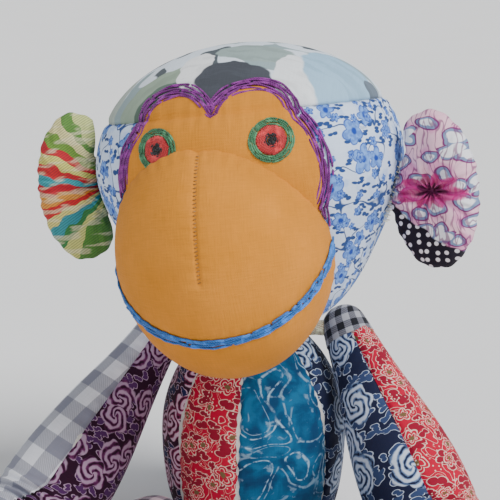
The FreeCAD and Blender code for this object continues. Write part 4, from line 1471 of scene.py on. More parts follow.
def arc_through(a: tuple[float, float], b: tuple[float, float], c: tuple[float, float], count: int = 60) -> Array:
    """Points along the circle's arc from one place through a second to a third."""
    a, b, c = (np.array(p, float) for p in (a, b, c))
    d = 2 * (a[0] * (b[1] - c[1]) + b[0] * (c[1] - a[1]) + c[0] * (a[1] - b[1]))
    sa, sb, sc = a @ a, b @ b, c @ c
    centre = np.array([
        (sa * (b[1] - c[1]) + sb * (c[1] - a[1]) + sc * (a[1] - b[1])) / d,
        (sa * (c[0] - b[0]) + sb * (a[0] - c[0]) + sc * (b[0] - a[0])) / d,
    ])
    angles = [math.atan2(*(p - centre)[::-1]) for p in (a, b, c)]
    first = (angles[1] - angles[0]) % (2 * math.pi)
    whole = (angles[2] - angles[0]) % (2 * math.pi)
    if first > whole:
        whole -= 2 * math.pi
    turn = angles[0] + np.linspace(0, whole, count)
    return centre + np.linalg.norm(a - centre) * np.stack([np.cos(turn), np.sin(turn)], axis=1)


def strand(points: Array, aside: Array, rise: Array, radius: float, sides: int = 6) -> Cutting:
    """A round strand along points, drawn in to a point at each end.

    Args:
        points: its middle line.
        aside: the way across it at each point.
        rise: the way up from the cloth at each point.
        radius: its radius.
        sides: how many corners its section has.

    Returns:
        The strand.
    """
    count = len(points)
    along = np.r_[0, np.cumsum(np.linalg.norm(np.diff(points, axis=0), axis=1))]
    ends = np.minimum(along, along[-1] - along)
    width = radius * np.sqrt(np.clip(ends / (1.2 * radius), 0.03, 1.0))
    angle = around(sides)
    ring = aside[:, None] * np.cos(angle)[None, :, None] + rise[:, None] * np.sin(angle)[None, :, None]
    grid = points[:, None] + ring * width[:, None, None]
    flat = np.stack([along[:, None] + 0 * angle, 0 * along[:, None] + angle * radius], axis=2)
    thread = Cutting.grid(grid, flat, closed=True)
    thread.faces += [tuple(range(sides))[::-1], tuple((count - 1) * sides + i for i in range(sides))]
    return thread


def recalculated(thing: Thing) -> None:
    """Turns a closed mesh's faces outwards."""
    work = bmesh.new()
    work.from_mesh(thing.data)
    bmesh.ops.recalc_face_normals(work, faces=work.faces)
    work.to_mesh(thing.data)
    work.free()


# ---------------------------------------------------------------- repeated stitches

STITCH_NODES = {
    "given": "NodeGroupInput", "result": "NodeGroupOutput", "curve": "GeometryNodeMeshToCurve",
    "even": "GeometryNodeResampleCurve", "rise": "GeometryNodeInputNamedAttribute",
    "upright": "FunctionNodeAlignRotationToVector", "tangent": "GeometryNodeInputTangent",
    "ahead": "FunctionNodeAlignRotationToVector", "wander": "FunctionNodeRandomValue", "lean": "ShaderNodeMath",
    "angles": "ShaderNodeCombineXYZ", "turn": "FunctionNodeEulerToRotation", "turned": "FunctionNodeRotateRotation",
    "grain": "GeometryNodeMeshUVSphere", "size": "ShaderNodeCombineXYZ", "place": "GeometryNodeInstanceOnPoints",
    "real": "GeometryNodeRealizeInstances", "smooth": "GeometryNodeSetShadeSmooth",
    "finish": "GeometryNodeSetMaterial",
}
STITCH_LINKS = (
    ("given", "Line", "curve", 0), ("curve", 0, "even", "Curve"), ("given", "Spacing", "even", "Length"),
    ("rise", "Attribute", "upright", "Vector"), ("upright", 0, "ahead", "Rotation"), ("tangent", 0, "ahead", "Vector"),
    ("given", "Seed", "wander", "Seed"), ("given", "Lean", "lean", 0), ("wander", 1, "lean", 1),
    ("lean", 0, "angles", "Z"), ("angles", 0, "turn", 0), ("ahead", 0, "turned", "Rotation"),
    ("turn", 0, "turned", "Rotate By"), ("given", "Length", "size", "X"), ("given", "Thickness", "size", "Y"),
    ("given", "Thickness", "size", "Z"), ("even", 0, "place", "Points"), ("grain", "Mesh", "place", "Instance"),
    ("turned", 0, "place", "Rotation"), ("size", 0, "place", "Scale"), ("place", 0, "real", 0),
    ("real", 0, "smooth", "Geometry"), ("smooth", 0, "finish", "Geometry"), ("finish", 0, "result", 0),
)


@dataclass
class StitchRun:
    """Hand stitches set one after another along a line of sewing."""

    room: Workroom
    spacing: float = 2.4 * MM
    length: float = 2.6 * MM
    thickness: float = 0.5 * MM
    lean: float = 90.0
    seed: int = 7

    def tree(self, material: Material) -> tuple[bpy.types.NodeTree, dict[str, str]]:
        """The node tree that lays the stitches.

        Args:
            material: the thread's finish.

        Returns:
            The tree, and the identifier of each of its named inputs.
        """
        tree = bpy.data.node_groups.new("stitch_run", "GeometryNodeTree")
        face = tree.interface
        face.new_socket("Line", in_out="INPUT", socket_type="NodeSocketGeometry")
        names = {}
        for label in ("Spacing", "Length", "Thickness", "Lean"):
            names[label] = face.new_socket(label, in_out="INPUT", socket_type="NodeSocketFloat").identifier
        names["Seed"] = face.new_socket("Seed", in_out="INPUT", socket_type="NodeSocketInt").identifier
        face.new_socket("Stitches", in_out="OUTPUT", socket_type="NodeSocketGeometry")
        nodes = {label: tree.nodes.new(kind) for label, kind in STITCH_NODES.items()}
        nodes["even"].mode = "LENGTH"
        nodes["rise"].data_type = "FLOAT_VECTOR"
        nodes["rise"].inputs["Name"].default_value = "rise"
        nodes["upright"].axis = "Z"
        nodes["ahead"].axis, nodes["ahead"].pivot_axis = "X", "Z"
        nodes["wander"].data_type = "FLOAT"
        nodes["wander"].inputs["Min"].default_value = -0.22
        nodes["wander"].inputs["Max"].default_value = 0.22
        nodes["lean"].operation = "ADD"
        nodes["turned"].rotation_space = "LOCAL"
        for label, value in (("Segments", 8), ("Rings", 5), ("Radius", 0.5)):
            nodes["grain"].inputs[label].default_value = value
        nodes["finish"].inputs["Material"].default_value = material
        for source, output, target, socket in STITCH_LINKS:
            tree.links.new(nodes[source].outputs[output], nodes[target].inputs[socket])
        return tree, names

    def lay(self, name: str, points: Array, rise: Array, finish: str) -> Thing:
        """Stitches along a line, as a plain mesh.

        Args:
            name: the object's name.
            points: the line, in the toy's frame.
            rise: the way up from the cloth at each point.
            finish: the thread's finish.

        Returns:
            The new object.
        """
        data = bpy.data.meshes.new(name)
        data.from_pydata([tuple(p) for p in points], [(i, i + 1) for i in range(len(points) - 1)], [])
        layer = data.attributes.new("rise", "FLOAT_VECTOR", "POINT")
        layer.data.foreach_set("vector", np.ascontiguousarray(rise, np.float32).ravel())
        thing = bpy.data.objects.new(name, data)
        bpy.context.scene.collection.objects.link(thing)
        tree, names = self.tree(self.room.finishes[finish])
        sewing = thing.modifiers.new("stitches", "NODES")
        sewing.node_group = tree
        sewing[names["Spacing"]] = self.spacing
        sewing[names["Length"]] = self.length
        sewing[names["Thickness"]] = self.thickness
        sewing[names["Lean"]] = math.radians(self.lean)
        sewing[names["Seed"]] = self.seed
        return flattened(thing)


# ---------------------------------------------------------------- ears

@dataclass
class Ear:
    """A round stuffed ear of two panels, gathered where it is sewn to the head."""

    room: Workroom
    head: Head
    side: Side
    finish: str
    half_width: float = 23.016 * MM
    half_thickness: float = 14 * MM
    half_height: float = 40.99 * MM
    base: float = 79.97 * MM
    gap: float = 4.5 * MM
    root: float = 15 * MM
    reach: float = 21 * MM
    azimuth: float = 78.0
    rise: float = 0.0
    cup: float = 6 * MM
    star: float = 0.0

    def __post_init__(self) -> None:
        """Sets the ear's own frame in the head's, with +X straight out and +Y to its back."""
        out = heading(self.side.value * self.azimuth)
        up = np.array([0.0, 0.0, 1.0])
        back = np.cross(up, out) * self.side.value
        self.frame = Place(out * self.base + up * self.rise, np.stack([out, back, up], axis=1))

    def near_edge(self, z: Array) -> Array:
        """How close to the head the ear starts, at a height of its own."""
        skin = self.head.radius_at(self.rise + z) - self.base
        away = np.clip((np.abs(z) - 0.8 * self.root) / (0.7 * self.root), 0, 1)
        return skin + 0.9 * MM + (self.gap - 0.9 * MM) * away * away * (3 - 2 * away)

    def rim(self, spokes: int) -> tuple[Array, Array]:
        """The ear's outline.

        Args:
            spokes: how many points it has.

        Returns:
            The middle that the points are seen from, and the points, both as (out, up).
        """
        middle = np.array([self.reach + 1 * MM, 0.0])
        angle = around(spokes)
        way = np.stack([np.cos(angle), np.sin(angle)], axis=1)
        steps = np.linspace(0.02, 1.6, 700)[:, None, None] * self.half_height
        tried = middle + way[None] * steps
        round_ = ((tried[..., 0] - self.reach) / self.half_width) ** 2 + (tried[..., 1] / self.half_height) ** 2 < 1
        clear = tried[..., 0] > self.near_edge(tried[..., 1])
        last = np.argmin(round_ & clear, axis=0) - 1
        last = np.convolve(np.r_[last[-3:], last, last[:3]], np.ones(7) / 7, "valid")
        length = np.interp(last, np.arange(700), steps[:, 0, 0])
        length += 0.35 * MM * np.sin(angle * 13 + 1) + 0.3 * MM * np.sin(angle * 29)
        return middle, middle + way * length[:, None]

    def panel(self, face: int) -> Cutting:
        """The front or back panel.

        Args:
            face: -1 for the front and 1 for the back.

        Returns:
            Its cloth, in the toy's frame.
        """
        rings, spokes = 46, 220
        middle, rim = self.rim(spokes)
        t = (np.sin(np.linspace(0.03, 1, rings) * math.pi / 2))[:, None, None]
        spread = middle + (rim - middle)[None] * t
        x, z = spread[..., 0], spread[..., 1]
        edge = np.linalg.norm(rim - middle, axis=1)[None] * (1 - t[..., 0])
        dome = np.sqrt(np.clip(1 - t[..., 0] ** 2.6, 0, 1))
        attach = np.array([self.near_edge(np.zeros(1))[0], 0.0])
        away = np.linalg.norm(spread - attach, axis=2)
        angle = np.arctan2(z, x - attach[0] + 4 * MM)
        pleat = np.sin(angle * 15 + 1.3 * np.sin(angle * 4) + face) * np.exp(-away / (24 * MM)) * dome
        star = np.arctan2(z, x - self.reach)
        centre = np.hypot(x - self.reach, z)
        if face < 0:
            fade = np.exp(-centre / (11 * MM)) * np.clip(centre / (3 * MM), 0, 1)
            pleat = pleat + self.star * np.sin(star * 11 + 1.4 * np.sin(star * 3)) * fade
        wave = np.sin(angle * 7 + 2 * face) * dip(away - 26 * MM, 16 * MM) * dome
        hollow = dip(away - 15 * MM, 17 * MM) if face < 0 else 0.35 * dip(away, 16 * MM)
        depth = self.half_thickness * dome * 0.92 - self.cup * hollow * dome + MM * (1.5 * pleat + 0.8 * wave)
        depth -= 1.6 * MM * self.star * (face < 0) * dip(centre, 7 * MM)
        depth += 0.5 * MM * dip(edge - 5 * MM, 4 * MM) * np.sin(np.arange(spokes) * 2 * math.pi / spokes * 31)[None]
        y = face * np.maximum(depth, 0) + 0.35 * MM * face
        points = np.stack([x, y, z], axis=2)
        flat = np.stack([x - self.reach, z], axis=2)
        cloth = Cutting.grid(points, flat, closed=True)
        cloth.capped(spokes, flat=cloth.flat[:spokes].mean(axis=0))
        cloth.points = self.head.place.out(self.frame.out(cloth.points))
        return cloth

    def build(self) -> None:
        """Makes and sews on the two panels, the stuffing and the root's stitches."""
        room, word = self.room, self.side.word
        inside = self.head.place.out(self.frame.out(np.array([[self.reach, 0, 0]])))[0]
        for name, face in (("front", -1), ("back", 1)):
            thing = room.backed(room.mesh(f"{word}_ear_{name}_cloth", self.panel(face), self.finish, inside), 0.8 * MM)
            room.sewn(thing, f"{word}_ear", self.finish, f"{word}_ear_{name}", fill=0.8)
        z = np.linspace(-self.root, self.root, 40)
        for face, label in ((-1, "front"), (1, "back")):
            line = np.stack([self.near_edge(z) + 0.5 * MM, face * 2.2 * MM + 0 * z, z], axis=1)
            rise = np.repeat(self.head.place.axes @ self.frame.axes @ np.array([[0.3], [face], [0]]), len(z), axis=1).T
            run = StitchRun(room, spacing=2.6 * MM, length=3.2 * MM, thickness=0.55 * MM, lean=78.0, seed=5 + face)
            line = self.head.place.out(self.frame.out(line))
            thing = run.lay(f"{word}_ear_root_{label}_stitches", line, rise, "cream_thread")
            room.sewn(thing, f"{word}_ear", "cream_thread")
        middle = self.head.place.out(self.frame.out(np.array([[self.reach, 2.6 * MM, 0.0]])))[0]
        back = self.head.place.axes @ self.frame.axes[:, 1]
        room.stuffing(f"{word}_ear_stuffing", f"{word}_ear", 3.0 * MM, (middle, back, 0.2))


# ---------------------------------------------------------------- limbs

@dataclass
class Tube:
    """A stuffed tube of cloth along a line, with its own sideways direction at every station."""

    middle: Array
    across: Array
    over: Array
    station: Array
    radius: Array
    fold_at: float
    fold_way: Array

    @staticmethod
    def bent(
        start: Array, joint: Array, first: Place, second: Place, stations: list[tuple[float, float]],
        begin: float, end: float, rows: int, ease: float,
    ) -> "Tube":
        """A tube that turns smoothly at a joint.

        Args:
            start: where its stations are counted from.
            joint: the place of the joint.
            first: the frame before the joint.
            second: the frame after it.
            stations: (radius, station) along it.
            begin: its first station.
            end: its last station.
            rows: how many rings it has.
            ease: how far each side of the joint it starts to turn.

        Returns:
            The tube.
        """
        profile = smooth_curve([(s, r) for r, s in stations], 900)
        station = np.linspace(begin, end, rows)
        radius = np.interp(station, profile[:, 0], np.maximum(profile[:, 1], 0))
        length = np.linalg.norm(joint - start)
        t = np.clip((station - length + ease) / (2 * ease), 0, 1)[:, None]
        d1, d2 = first.axes[:, 2], second.axes[:, 2]
        turning = joint - d1 * ease * (1 - t) ** 2 + d2 * ease * t ** 2
        past = (station - length)[:, None]
        middle = np.where(past > ease, joint + d2 * past, turning)
        middle = np.where(past < -ease, start + d1 * station[:, None], middle)
        ahead = unit(d1 * (1 - t) + d2 * t)
        across = first.axes[:, 0] * (1 - t) + second.axes[:, 0] * t
        across = unit(across - (across * ahead).sum(axis=1, keepdims=True) * ahead)
        over = np.cross(ahead, across)
        way = d2 - d1
        return Tube(middle, across, over, station, radius, length, unit(way) if np.linalg.norm(way) > 0.05 else way * 0)

    def strip(
        self, start: float, end: float, columns: int, seams: bool = True, crease: float = 1.0, seed: int = 0,
    ) -> Cutting:
        """One long strip of the tube.

        Args:
            start: the angle of its first edge, from the sideways direction.
            end: the angle of its second edge.
            columns: how many points it has across.
            seams: whether its edges turn in.
            crease: how deep the folds at the joint are, in millimetres.
            seed: which unevenness.

        Returns:
            Its cloth.
        """
        whole = not seams
        side = np.linspace(0, 1, columns, endpoint=seams)
        side = (1 - np.cos(side * math.pi)) / 2 if seams else side
        angle = math.radians(start) + math.radians(end - start) * side
        ring = (
            self.across[:, None] * np.cos(angle)[None, :, None] + self.over[:, None] * np.sin(angle)[None, :, None]
        )
        radius = self.radius[:, None] * np.ones_like(angle)
        base = self.middle[:, None] + ring * radius[..., None]
        flat = base.reshape(-1, 3)
        grow = np.clip(radius / (12 * MM), 0, 1)
        depth = 0.7 * MM * ripple(flat, 38 * MM, 6 + seed).reshape(radius.shape) * grow - 0.4 * MM
        if seams:
            away = np.minimum(side, 1 - side)[None] * math.radians(abs(end - start)) * radius
            pleats = np.sin(self.station / (7.2 * MM) * 2 * math.pi + 2 * np.sin(self.station / (23 * MM)))[:, None]
            drawn = 0.32 * pleats * dip(away - 2.4 * MM, 4.2 * MM) - 1.3 * dip(away, 1.4 * MM) - 0.7 * dip(away, 5 * MM)
            depth += grow * MM * drawn
        near = (self.station - self.fold_at)[:, None]
        inner = np.clip((ring * self.fold_way).sum(axis=2), 0, 1)
        swing = near + 3 * MM * np.sin(angle * 2 + seed)[None]
        folds = crease * MM * np.cos(swing / (9.0 * MM) * 2 * math.pi)
        depth += folds * dip(near, 17 * MM) * (0.12 + inner ** 1.2) * grow
        points = base + ring * depth[..., None]
        points[..., 2] = np.maximum(points[..., 2], FLOOR_GAP)
        spread = np.stack([radius.mean() * 0.4 * (angle - angle.mean()) + 0.6 * radius * (angle - angle.mean()),
                           self.station[:, None] + 0 * radius], axis=2)
        return Cutting.grid(points, spread, closed=whole)


def welded(thing: Thing) -> Thing:
    """Merges points that lie on each other, so that poles are closed, and keeps the faces outwards."""
    work = bmesh.new()
    work.from_mesh(thing.data)
    bmesh.ops.remove_doubles(work, verts=work.verts, dist=0.02 * MM)
    work.to_mesh(thing.data)
    work.free()
    return thing


@dataclass
class Arm:
    """A long arm of two strips with a plain hand, bent at the elbow."""

    room: Workroom
    side: Side
    outer: str
    inner: str
    shoulder: Array
    elbow: Array
    outward: float
    patch: bool = False
    radius: float = 30.5 * MM
    ball: float = 14 * MM
    length: float = 132 * MM
    setback: float = 16.47 * MM
    wrist_radius: float = 19.5 * MM
    wrist: float = 66 * MM
    hand_radius: float = 23 * MM
    hand: float = 92 * MM
    hand_end: float = 116 * MM
    patch_end: float = 6 * MM

    def frames(self) -> tuple[Place, Place]:
        """The upper arm's and the forearm's own frames."""
        out = np.array([float(self.side.value), 0.0, 0.0])
        drop = (self.elbow[2] - self.hand_radius) / self.hand
        way = heading(self.side.value * self.outward) * math.sqrt(1 - drop * drop) - np.array([0, 0, drop])
        return Place.along(self.elbow - self.shoulder, self.shoulder, out), Place.along(way, self.elbow, out)

    def tube(self, begin: float, end: float, rows: int) -> Tube:
        """The whole arm's tube between two stations."""
        first, second = self.frames()
        r, b, n = self.radius, self.ball, self.length
        stations = [
            (0.0, -b), (0.52 * b, -0.86 * b), (0.86 * b, -0.5 * b), (0.99 * b, 0.0),
            (0.62 * r, 0.25 * n), (0.84 * r, 0.5 * n), (0.98 * r, 0.72 * n),
            (0.985 * r, n - self.setback), (0.955 * r, n), (0.96 * r, n + self.setback),
            (0.85 * r, n + 0.55 * self.wrist), (self.wrist_radius, n + self.wrist),
            (0.985 * self.hand_radius, n + self.hand - 12 * MM), (self.hand_radius, n + self.hand),
            (0.70 * self.hand_radius, n + 0.955 * self.hand_end), (0.0, n + self.hand_end),
        ]
        return Tube.bent(self.shoulder, self.elbow, first, second, stations, begin, end, rows, 24 * MM)

    def build(self) -> None:
        """Makes and sews on the arm's pieces."""
        room, word = self.room, self.side.word
        first, second = self.frames()
        bodies = (f"{word}_upper_arm", f"{word}_forearm")
        ends = (self.elbow - first.axes[:, 2] * 17 * MM, self.elbow + second.axes[:, 2] * 17 * MM)
        begin = self.patch_end if self.patch else -self.ball
        whole = self.tube(begin, self.length + self.wrist, 210)
        for strip, finish, start in ((Strip.OUTER, self.outer, -90.0), (Strip.INNER, self.inner, 90.0)):
            label = strip.name.lower()
            cloth = whole.strip(start, start + 180, 60, crease=1.5, seed=strip.value + self.side.value)
            thing = welded(room.mesh(f"{word}_arm_{label}_cloth", cloth, finish, None))
            faces_outwards(thing, whole.middle)
            nodes = (f"{word}_upper_arm_{label}", f"{word}_forearm_{label}")
            room.bridged(room.backed(thing), bodies, ends, finish, *nodes, fill=0.8)
        if self.patch:
            cap = self.tube(-self.ball, self.patch_end + 1.6 * MM, 30)
            cap.radius = cap.radius + 0.5 * MM * np.clip((cap.station + self.ball) / (4 * MM), 0, 1)
            cloth = cap.strip(0, 360, 72, False, 0.0)
            thing = welded(room.mesh(f"{word}_shoulder_patch_cloth", cloth, "black_grey_check"))
            faces_outwards(thing, cap.middle)
            room.sewn(room.backed(thing, 0.9 * MM), bodies[0], "black_grey_check", f"{word}_shoulder_patch", fill=0.8)
        mitt = self.tube(self.length + self.wrist - 1.2 * MM, self.length + self.hand_end, 70)
        mitt.radius = mitt.radius - 0.9 * MM * dip(mitt.station - self.length - self.wrist, 2.2 * MM)
        thing = welded(room.mesh(f"{word}_hand_cloth", mitt.strip(0, 360, 96, False, 0.0, 3), "ochre_cotton"))
        faces_outwards(thing, mitt.middle)
        room.sewn(room.backed(thing), bodies[1], "ochre_cotton", f"{word}_hand", fill=0.85)
        room.stuffing(f"{word}_upper_arm_stuffing", bodies[0], 2.2 * MM)
        room.stuffing(f"{word}_forearm_stuffing", bodies[1], 2.2 * MM)
        self.bundle()

    def bundle(self) -> None:
        """The wound threads between the torso and the shoulder."""
        low, high = (np.array(c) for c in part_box(f"{self.side.word}_shoulder_stitching"))
        centre, radius = (low + high) / 2, (high[2] - low[2]) / 2
        x = np.linspace(low[0] - 1.5 * MM, high[0] + 1.5 * MM, 16)
        made = []
        for i in range(18):
            a = 2 * math.pi * i / 18 + 0.9 * np.linspace(0, 1, len(x))
            r = (radius - 0.9 * MM) * (1 - 0.12 * np.sin(np.linspace(0, math.pi, len(x))))
            points = np.stack([x, centre[1] + r * np.cos(a), centre[2] + r * np.sin(a)], axis=1)
            rise = unit(points - np.stack([x, 0 * x + centre[1], 0 * x + centre[2]], axis=1))
            aside = unit(np.cross(np.gradient(points, axis=0), rise))
            made.append(strand(points, aside, rise, 0.75 * MM))
        core = np.stack([x, 0 * x + centre[1], 0 * x + centre[2]], axis=1)
        aside, rise = (np.tile(way, (len(x), 1)) for way in ([0.0, 1, 0], [0.0, 0, 1]))
        made.append(strand(core, aside, rise, radius - 1.4 * MM, 12))
        thing = self.room.mesh(f"{self.side.word}_shoulder_threads", Cutting.joined(made), "cream_thread")
        recalculated(thing)
        self.room.sewn(thing, f"{self.side.word}_shoulder", "cream_thread", f"{self.side.word}_shoulder_stitching")


def faces_outwards(thing: Thing, line: Array) -> None:
    """Flips a mesh whose faces look towards its middle line."""
    data = thing.data
    total = 0.0
    for polygon in list(data.polygons)[::7]:
        centre = np.array(polygon.center)
        nearest = line[np.argmin(((line - centre) ** 2).sum(axis=1))]
        total += float(np.dot(np.array(polygon.normal), centre - nearest)) * polygon.area
    if total < 0:
        data.flip_normals()


@dataclass
class Leg:
    """A leg of two strips and a shin, with a plain upright foot, lying on the floor."""

    room: Workroom
    side: Side
    top: str
    bottom: str
    shin: str
    hip: Array
    knee: Array
    radius: float = 25 * MM
    thigh_start: float = 12 * MM
    thigh: float = 106 * MM
    shin_radius: float = 19.5 * MM
    shin_length: float = 80 * MM
    foot: tuple[float, float, float] = (37 * MM, 24 * MM, 21 * MM)
    setback: float = 10.75 * MM
    tab: tuple[float, float, float] = (3 * MM, 14 * MM, 30 * MM)

    def build(self) -> None:
        """Makes and sews on the leg's pieces."""
        room, word = self.room, self.side.word
        start = np.array([self.hip[0], self.hip[1], self.radius])
        knee = np.array([self.knee[0], self.knee[1], self.radius])
        frame = Place.along(knee - start, start, np.array([0.0, 0, 1]))
        ahead, r, n = frame.axes[:, 2], self.radius, self.thigh
        s = self.thigh_start
        stations = [
            (0.0, s - 0.6 * MM), (0.50 * r, s + 3.4 * MM), (0.78 * r, s + 14 * MM), (0.96 * r, s + 34 * MM),
            (r, s + 56 * MM), (0.965 * r, n - self.setback), (0.935 * r, n), (0.94 * r, n + self.setback),
            (0.85 * r, n + 0.55 * self.shin_length),
            (self.shin_radius, n + self.shin_length), (self.shin_radius * 0.95, n + self.shin_length + 12 * MM),
        ]
        second = Place(knee, frame.axes)
        bodies = (f"{word}_thigh", f"{word}_shin")
        ends = (knee - ahead * 14 * MM, knee + ahead * 14 * MM)
        upper = Tube.bent(start, knee, frame, second, stations, s - 0.6 * MM, n + 0.8 * MM, 120, 20 * MM)
        for finish, label, angle in ((self.top, "top", -90.0), (self.bottom, "bottom", 90.0)):
            cloth = upper.strip(angle, angle + 180, 56, crease=0.7, seed=int(angle) % 7)
            thing = welded(room.mesh(f"{word}_thigh_{label}_cloth", cloth, finish))
            faces_outwards(thing, upper.middle)
            room.bridged(room.backed(thing), bodies, ends, finish, f"{word}_thigh_{label}", fill=0.8)
        last = n + self.shin_length + 4 * MM
        lower = Tube.bent(start, knee, frame, second, stations, n + 0.2 * MM, last, 80, 20 * MM)
        lower.radius = lower.radius - 0.7 * MM * dip(lower.station - n, 2 * MM)
        thing = room.mesh(f"{word}_shin_cloth", lower.strip(0, 360, 110, False, 0.7, 2), self.shin)
        faces_outwards(thing, lower.middle)
        room.bridged(room.backed(thing), bodies, ends, self.shin, f"{word}_shin", fill=0.8)
        self.make_foot(Place(knee, frame.axes))
        self.make_tab(frame)
        room.stuffing(f"{word}_thigh_stuffing", bodies[0], 2.2 * MM)
        room.stuffing(f"{word}_shin_stuffing", bodies[1], 2.2 * MM)

    def make_foot(self, frame: Place) -> None:
        """The foot, with a seam round its length and three toe stitches' worth of tucks."""
        rings, spokes = 60, 110
        e = np.linspace(-math.pi / 2, math.pi / 2, rings)[:, None]
        a = around(spokes)[None]
        up, wide, deep = self.foot
        way = np.stack([np.sin(e) + 0 * a, np.cos(e) * np.sin(a), np.cos(e) * np.cos(a)], axis=2)
        seam = np.abs(way[..., 1])
        lumps = ripple(way.reshape(-1, 3) * 20 * MM, 22 * MM, 9).reshape(seam.shape)
        swell = 1 - 0.03 * dip(seam, 0.05) - 0.02 * dip(seam, 0.2) + 0.012 * lumps
        tucks = np.clip((e - 0.75) / 0.5, 0, 1) * np.where(way[..., 2] > 0, 1, 0.4)
        swell -= 0.035 * tucks * (dip(way[..., 1] - 0.3, 0.05) + dip(way[..., 1] + 0.3, 0.05) + dip(way[..., 1], 0.05))
        local = way * np.array([up, wide, deep]) * 0.99 * swell[..., None]
        local += np.array([up - self.radius, 0, self.shin_length + 0.55 * deep])
        flat = np.stack([a * wide * np.cos(e) * 0.9, e * up + 0 * a], axis=2)
        cloth = Cutting.grid(frame.out(local.reshape(-1, 3)).reshape(local.shape), flat, closed=True)
        cloth.points[:, 2] = np.maximum(cloth.points[:, 2], FLOOR_GAP)
        thing = welded(self.room.mesh(f"{self.side.word}_foot_cloth", cloth, "ochre_cotton", cloth.points.mean(axis=0)))
        word = self.side.word
        self.room.sewn(self.room.backed(thing), f"{word}_shin", "ochre_cotton", f"{word}_foot", fill=0.85)

    def make_tab(self, frame: Place) -> None:
        """The flat gathered end that hinges the leg to the torso."""
        thick, wide, long = self.tab
        level = self.hip[2] - self.radius
        rows, spokes = 24, 40
        s = np.linspace(0.0, long - 4 * MM, rows)[:, None]
        a = around(spokes)[None]
        crimp = 1 + 0.12 * np.sin(a * 9) * dip(s, 10 * MM)
        local = np.stack([level + 0.5 * thick * np.cos(a) * crimp, 0.5 * wide * np.sin(a) + 0 * s, s + 0 * a], axis=2)
        cloth = Cutting.grid(frame.out(local.reshape(-1, 3)).reshape(local.shape), local[..., 1:], closed=True)
        cloth.faces += [tuple(range(spokes))[::-1], tuple((rows - 1) * spokes + i for i in range(spokes))]
        thing = self.room.mesh(f"{self.side.word}_leg_tab", cloth, self.bottom)
        recalculated(thing)
        self.room.sewn(thing, f"{self.side.word}_thigh", self.bottom)


@dataclass
class Tail:
    """A thin stuffed tail that curls on the floor."""

    room: Workroom
    start: Array
    radius: float = 11 * MM
    straight: float = 34 * MM
    bend_radius: float = 46 * MM
    bend: float = 120.0
    tip: float = 26 * MM

    def build(self) -> None:
        """Makes and sews on the tail."""
        turn = math.radians(self.bend)
        curve = self.bend_radius * turn
        total = self.straight + curve + self.tip
        s = np.linspace(-self.radius, total + self.radius, 200)
        angle = np.clip((s - self.straight) / self.bend_radius, 0, turn)
        centre = self.start + np.array([self.bend_radius, self.straight, 0])
        on = centre + np.stack([-np.cos(angle), np.sin(angle), 0 * angle], axis=1) * self.bend_radius
        ahead = np.stack([np.sin(angle), np.cos(angle), 0 * angle], axis=1)
        before = np.minimum(s - self.straight, 0)[:, None]
        after = np.maximum(s - self.straight - curve, 0)[:, None]
        middle = on + ahead * (before + after)
        end = np.minimum(s + self.radius, total + self.radius - s)
        radius = np.sqrt(np.clip(self.radius ** 2 - np.clip(self.radius - end, 0, None) ** 2, 0, None))
        up = np.tile([0.0, 0, 1], (len(s), 1))
        tube = Tube(middle, np.cross(ahead, up), up, s, radius, self.straight + curve / 2, np.zeros(3))
        cloth = tube.strip(-90, 270, 70, True, 0.0, 4)
        thing = welded(self.room.mesh("tail_cloth", cloth, "teal_batik"))
        faces_outwards(thing, middle)
        self.room.sewn(self.room.backed(thing), "tail", "teal_batik", "tail_sleeve", fill=0.8)
        self.room.stuffing("tail_stuffing", "tail", 1.6 * MM)


# ---------------------------------------------------------------- studio

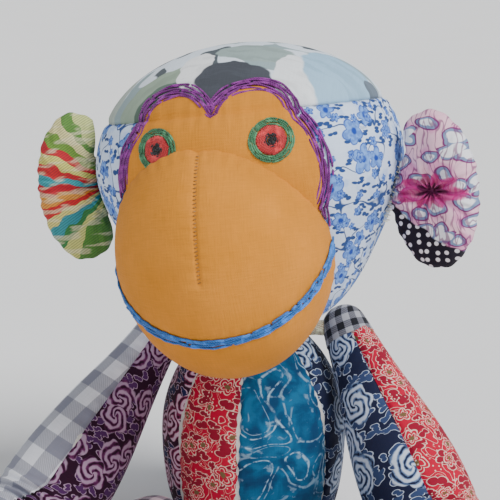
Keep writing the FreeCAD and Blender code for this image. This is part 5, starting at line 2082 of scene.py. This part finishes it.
@dataclass
class Studio:
    """A pale floor, soft lights and the camera."""

    aim: tuple[float, float, float] = (0.0, -28 * MM, 212 * MM)
    distance: float = 0.58
    elevation: float = 13.0
    spread: float = 26.7
    shift: tuple[float, float] = (-0.008, -0.102)

    def build(self) -> None:
        """Sets the stage."""
        scene = bpy.context.scene
        self.floor()
        self.world()
        self.light("key_light", (1.15, -0.75, 1.7), math.radians(30), 3.3)
        self.light("fill_light", (-0.6, -1.3, 0.9), math.radians(60), 0.45)
        eye = bpy.data.cameras.new("camera")
        eye.angle = math.radians(self.spread)
        eye.shift_x, eye.shift_y = self.shift
        eye.clip_start = 0.01
        camera = bpy.data.objects.new("camera", eye)
        scene.collection.objects.link(camera)
        rise = math.radians(self.elevation)
        way = Vector((0, -math.cos(rise), math.sin(rise)))
        camera.location = Vector(self.aim) + way * self.distance
        camera.rotation_euler = (-way).to_track_quat("-Z", "Y").to_euler()
        scene.camera = camera

    def floor(self) -> None:
        """A large pale floor."""
        data = bpy.data.meshes.new("floor")
        data.from_pydata([(-40, -40, 0), (40, -40, 0), (40, 40, 0), (-40, 40, 0)], [], [(0, 1, 2, 3)])
        thing = bpy.data.objects.new("floor", data)
        bpy.context.scene.collection.objects.link(thing)
        loom = Loom("floor_paint")
        tone = loom.painted((0.93, 0.93, 0.93), loom.noise(loom.solid, 300.0, 2.0), (0.96, 0.96, 0.96))
        loom.feed(loom.shader.inputs["Base Color"], tone)
        loom.shader.inputs["Roughness"].default_value = 0.9
        data.materials.append(loom.material)

    def world(self) -> None:
        """A bright even surround."""
        world = bpy.data.worlds.new("surround")
        world.use_nodes = True
        back = world.node_tree.nodes["Background"]
        back.inputs[0].default_value = (0.95, 0.97, 1.0, 1)
        back.inputs[1].default_value = 0.42
        bpy.context.scene.world = world

    def light(self, name: str, place: tuple[float, float, float], spread: float, power: float) -> None:
        """A broad soft light from a far window.

        Args:
            name: its name.
            place: the side that it comes from.
            spread: the angle that its window fills.
            power: its strength.
        """
        data = bpy.data.lights.new(name, "SUN")
        data.angle, data.energy = spread, power
        lamp = bpy.data.objects.new(name, data)
        bpy.context.scene.collection.objects.link(lamp)
        lamp.location = place
        lamp.rotation_euler = (Vector((0, 0, 0.15)) - Vector(place)).to_track_quat("-Z", "Y").to_euler()


# ---------------------------------------------------------------- the whole toy

def main() -> None:
    """Builds the toy's sub-assemblies in order."""
    logging.basicConfig(level=logging.INFO, format="%(message)s")
    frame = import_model()
    FRAME_NODES.update(frame["nodes"])
    joints = {j["name"]: np.array(j["pos_m"], float) for j in frame["joints"]}
    room = Workroom({name: finish.make(name) for name, finish in FINISHES.items()})
    Studio().build()
    Torso(room).build()
    Neck(room).build()
    head = Head(room)
    head.build()
    Ear(room, head, Side.LEFT, "butterfly_print", star=1.6).build()
    Ear(room, head, Side.RIGHT, "striped_twill", reach=15.04 * MM, azimuth=80.0, rise=15.96 * MM, cup=4 * MM).build()
    for side, outer, inner, outward, patch in (
        (Side.LEFT, "red_paisley", "navy_floral", 14.0, True), (Side.RIGHT, "gingham", "plum_floral", 28.0, False),
    ):
        shoulder, elbow = (joints[f"{side.word}_{name}"] for name in ("shoulder_swing", "elbow_bend"))
        Arm(room, side, outer, inner, shoulder, elbow, outward, patch).build()
    for side, top, bottom, shin in (
        (Side.LEFT, "teal_batik", "maroon_floral", "blue_floral"),
        (Side.RIGHT, "grey_pink_check", "navy_floral", "red_paisley"),
    ):
        hip, knee = (joints[f"{side.word}_{name}"] for name in ("hip_swing", "knee_bend"))
        Leg(room, side, top, bottom, shin, hip, knee).build()
    Tail(room, joints["tail_swing"]).build()
    LOG.info("%d pieces", len(room.made))


if __name__ == "__main__":
    main()
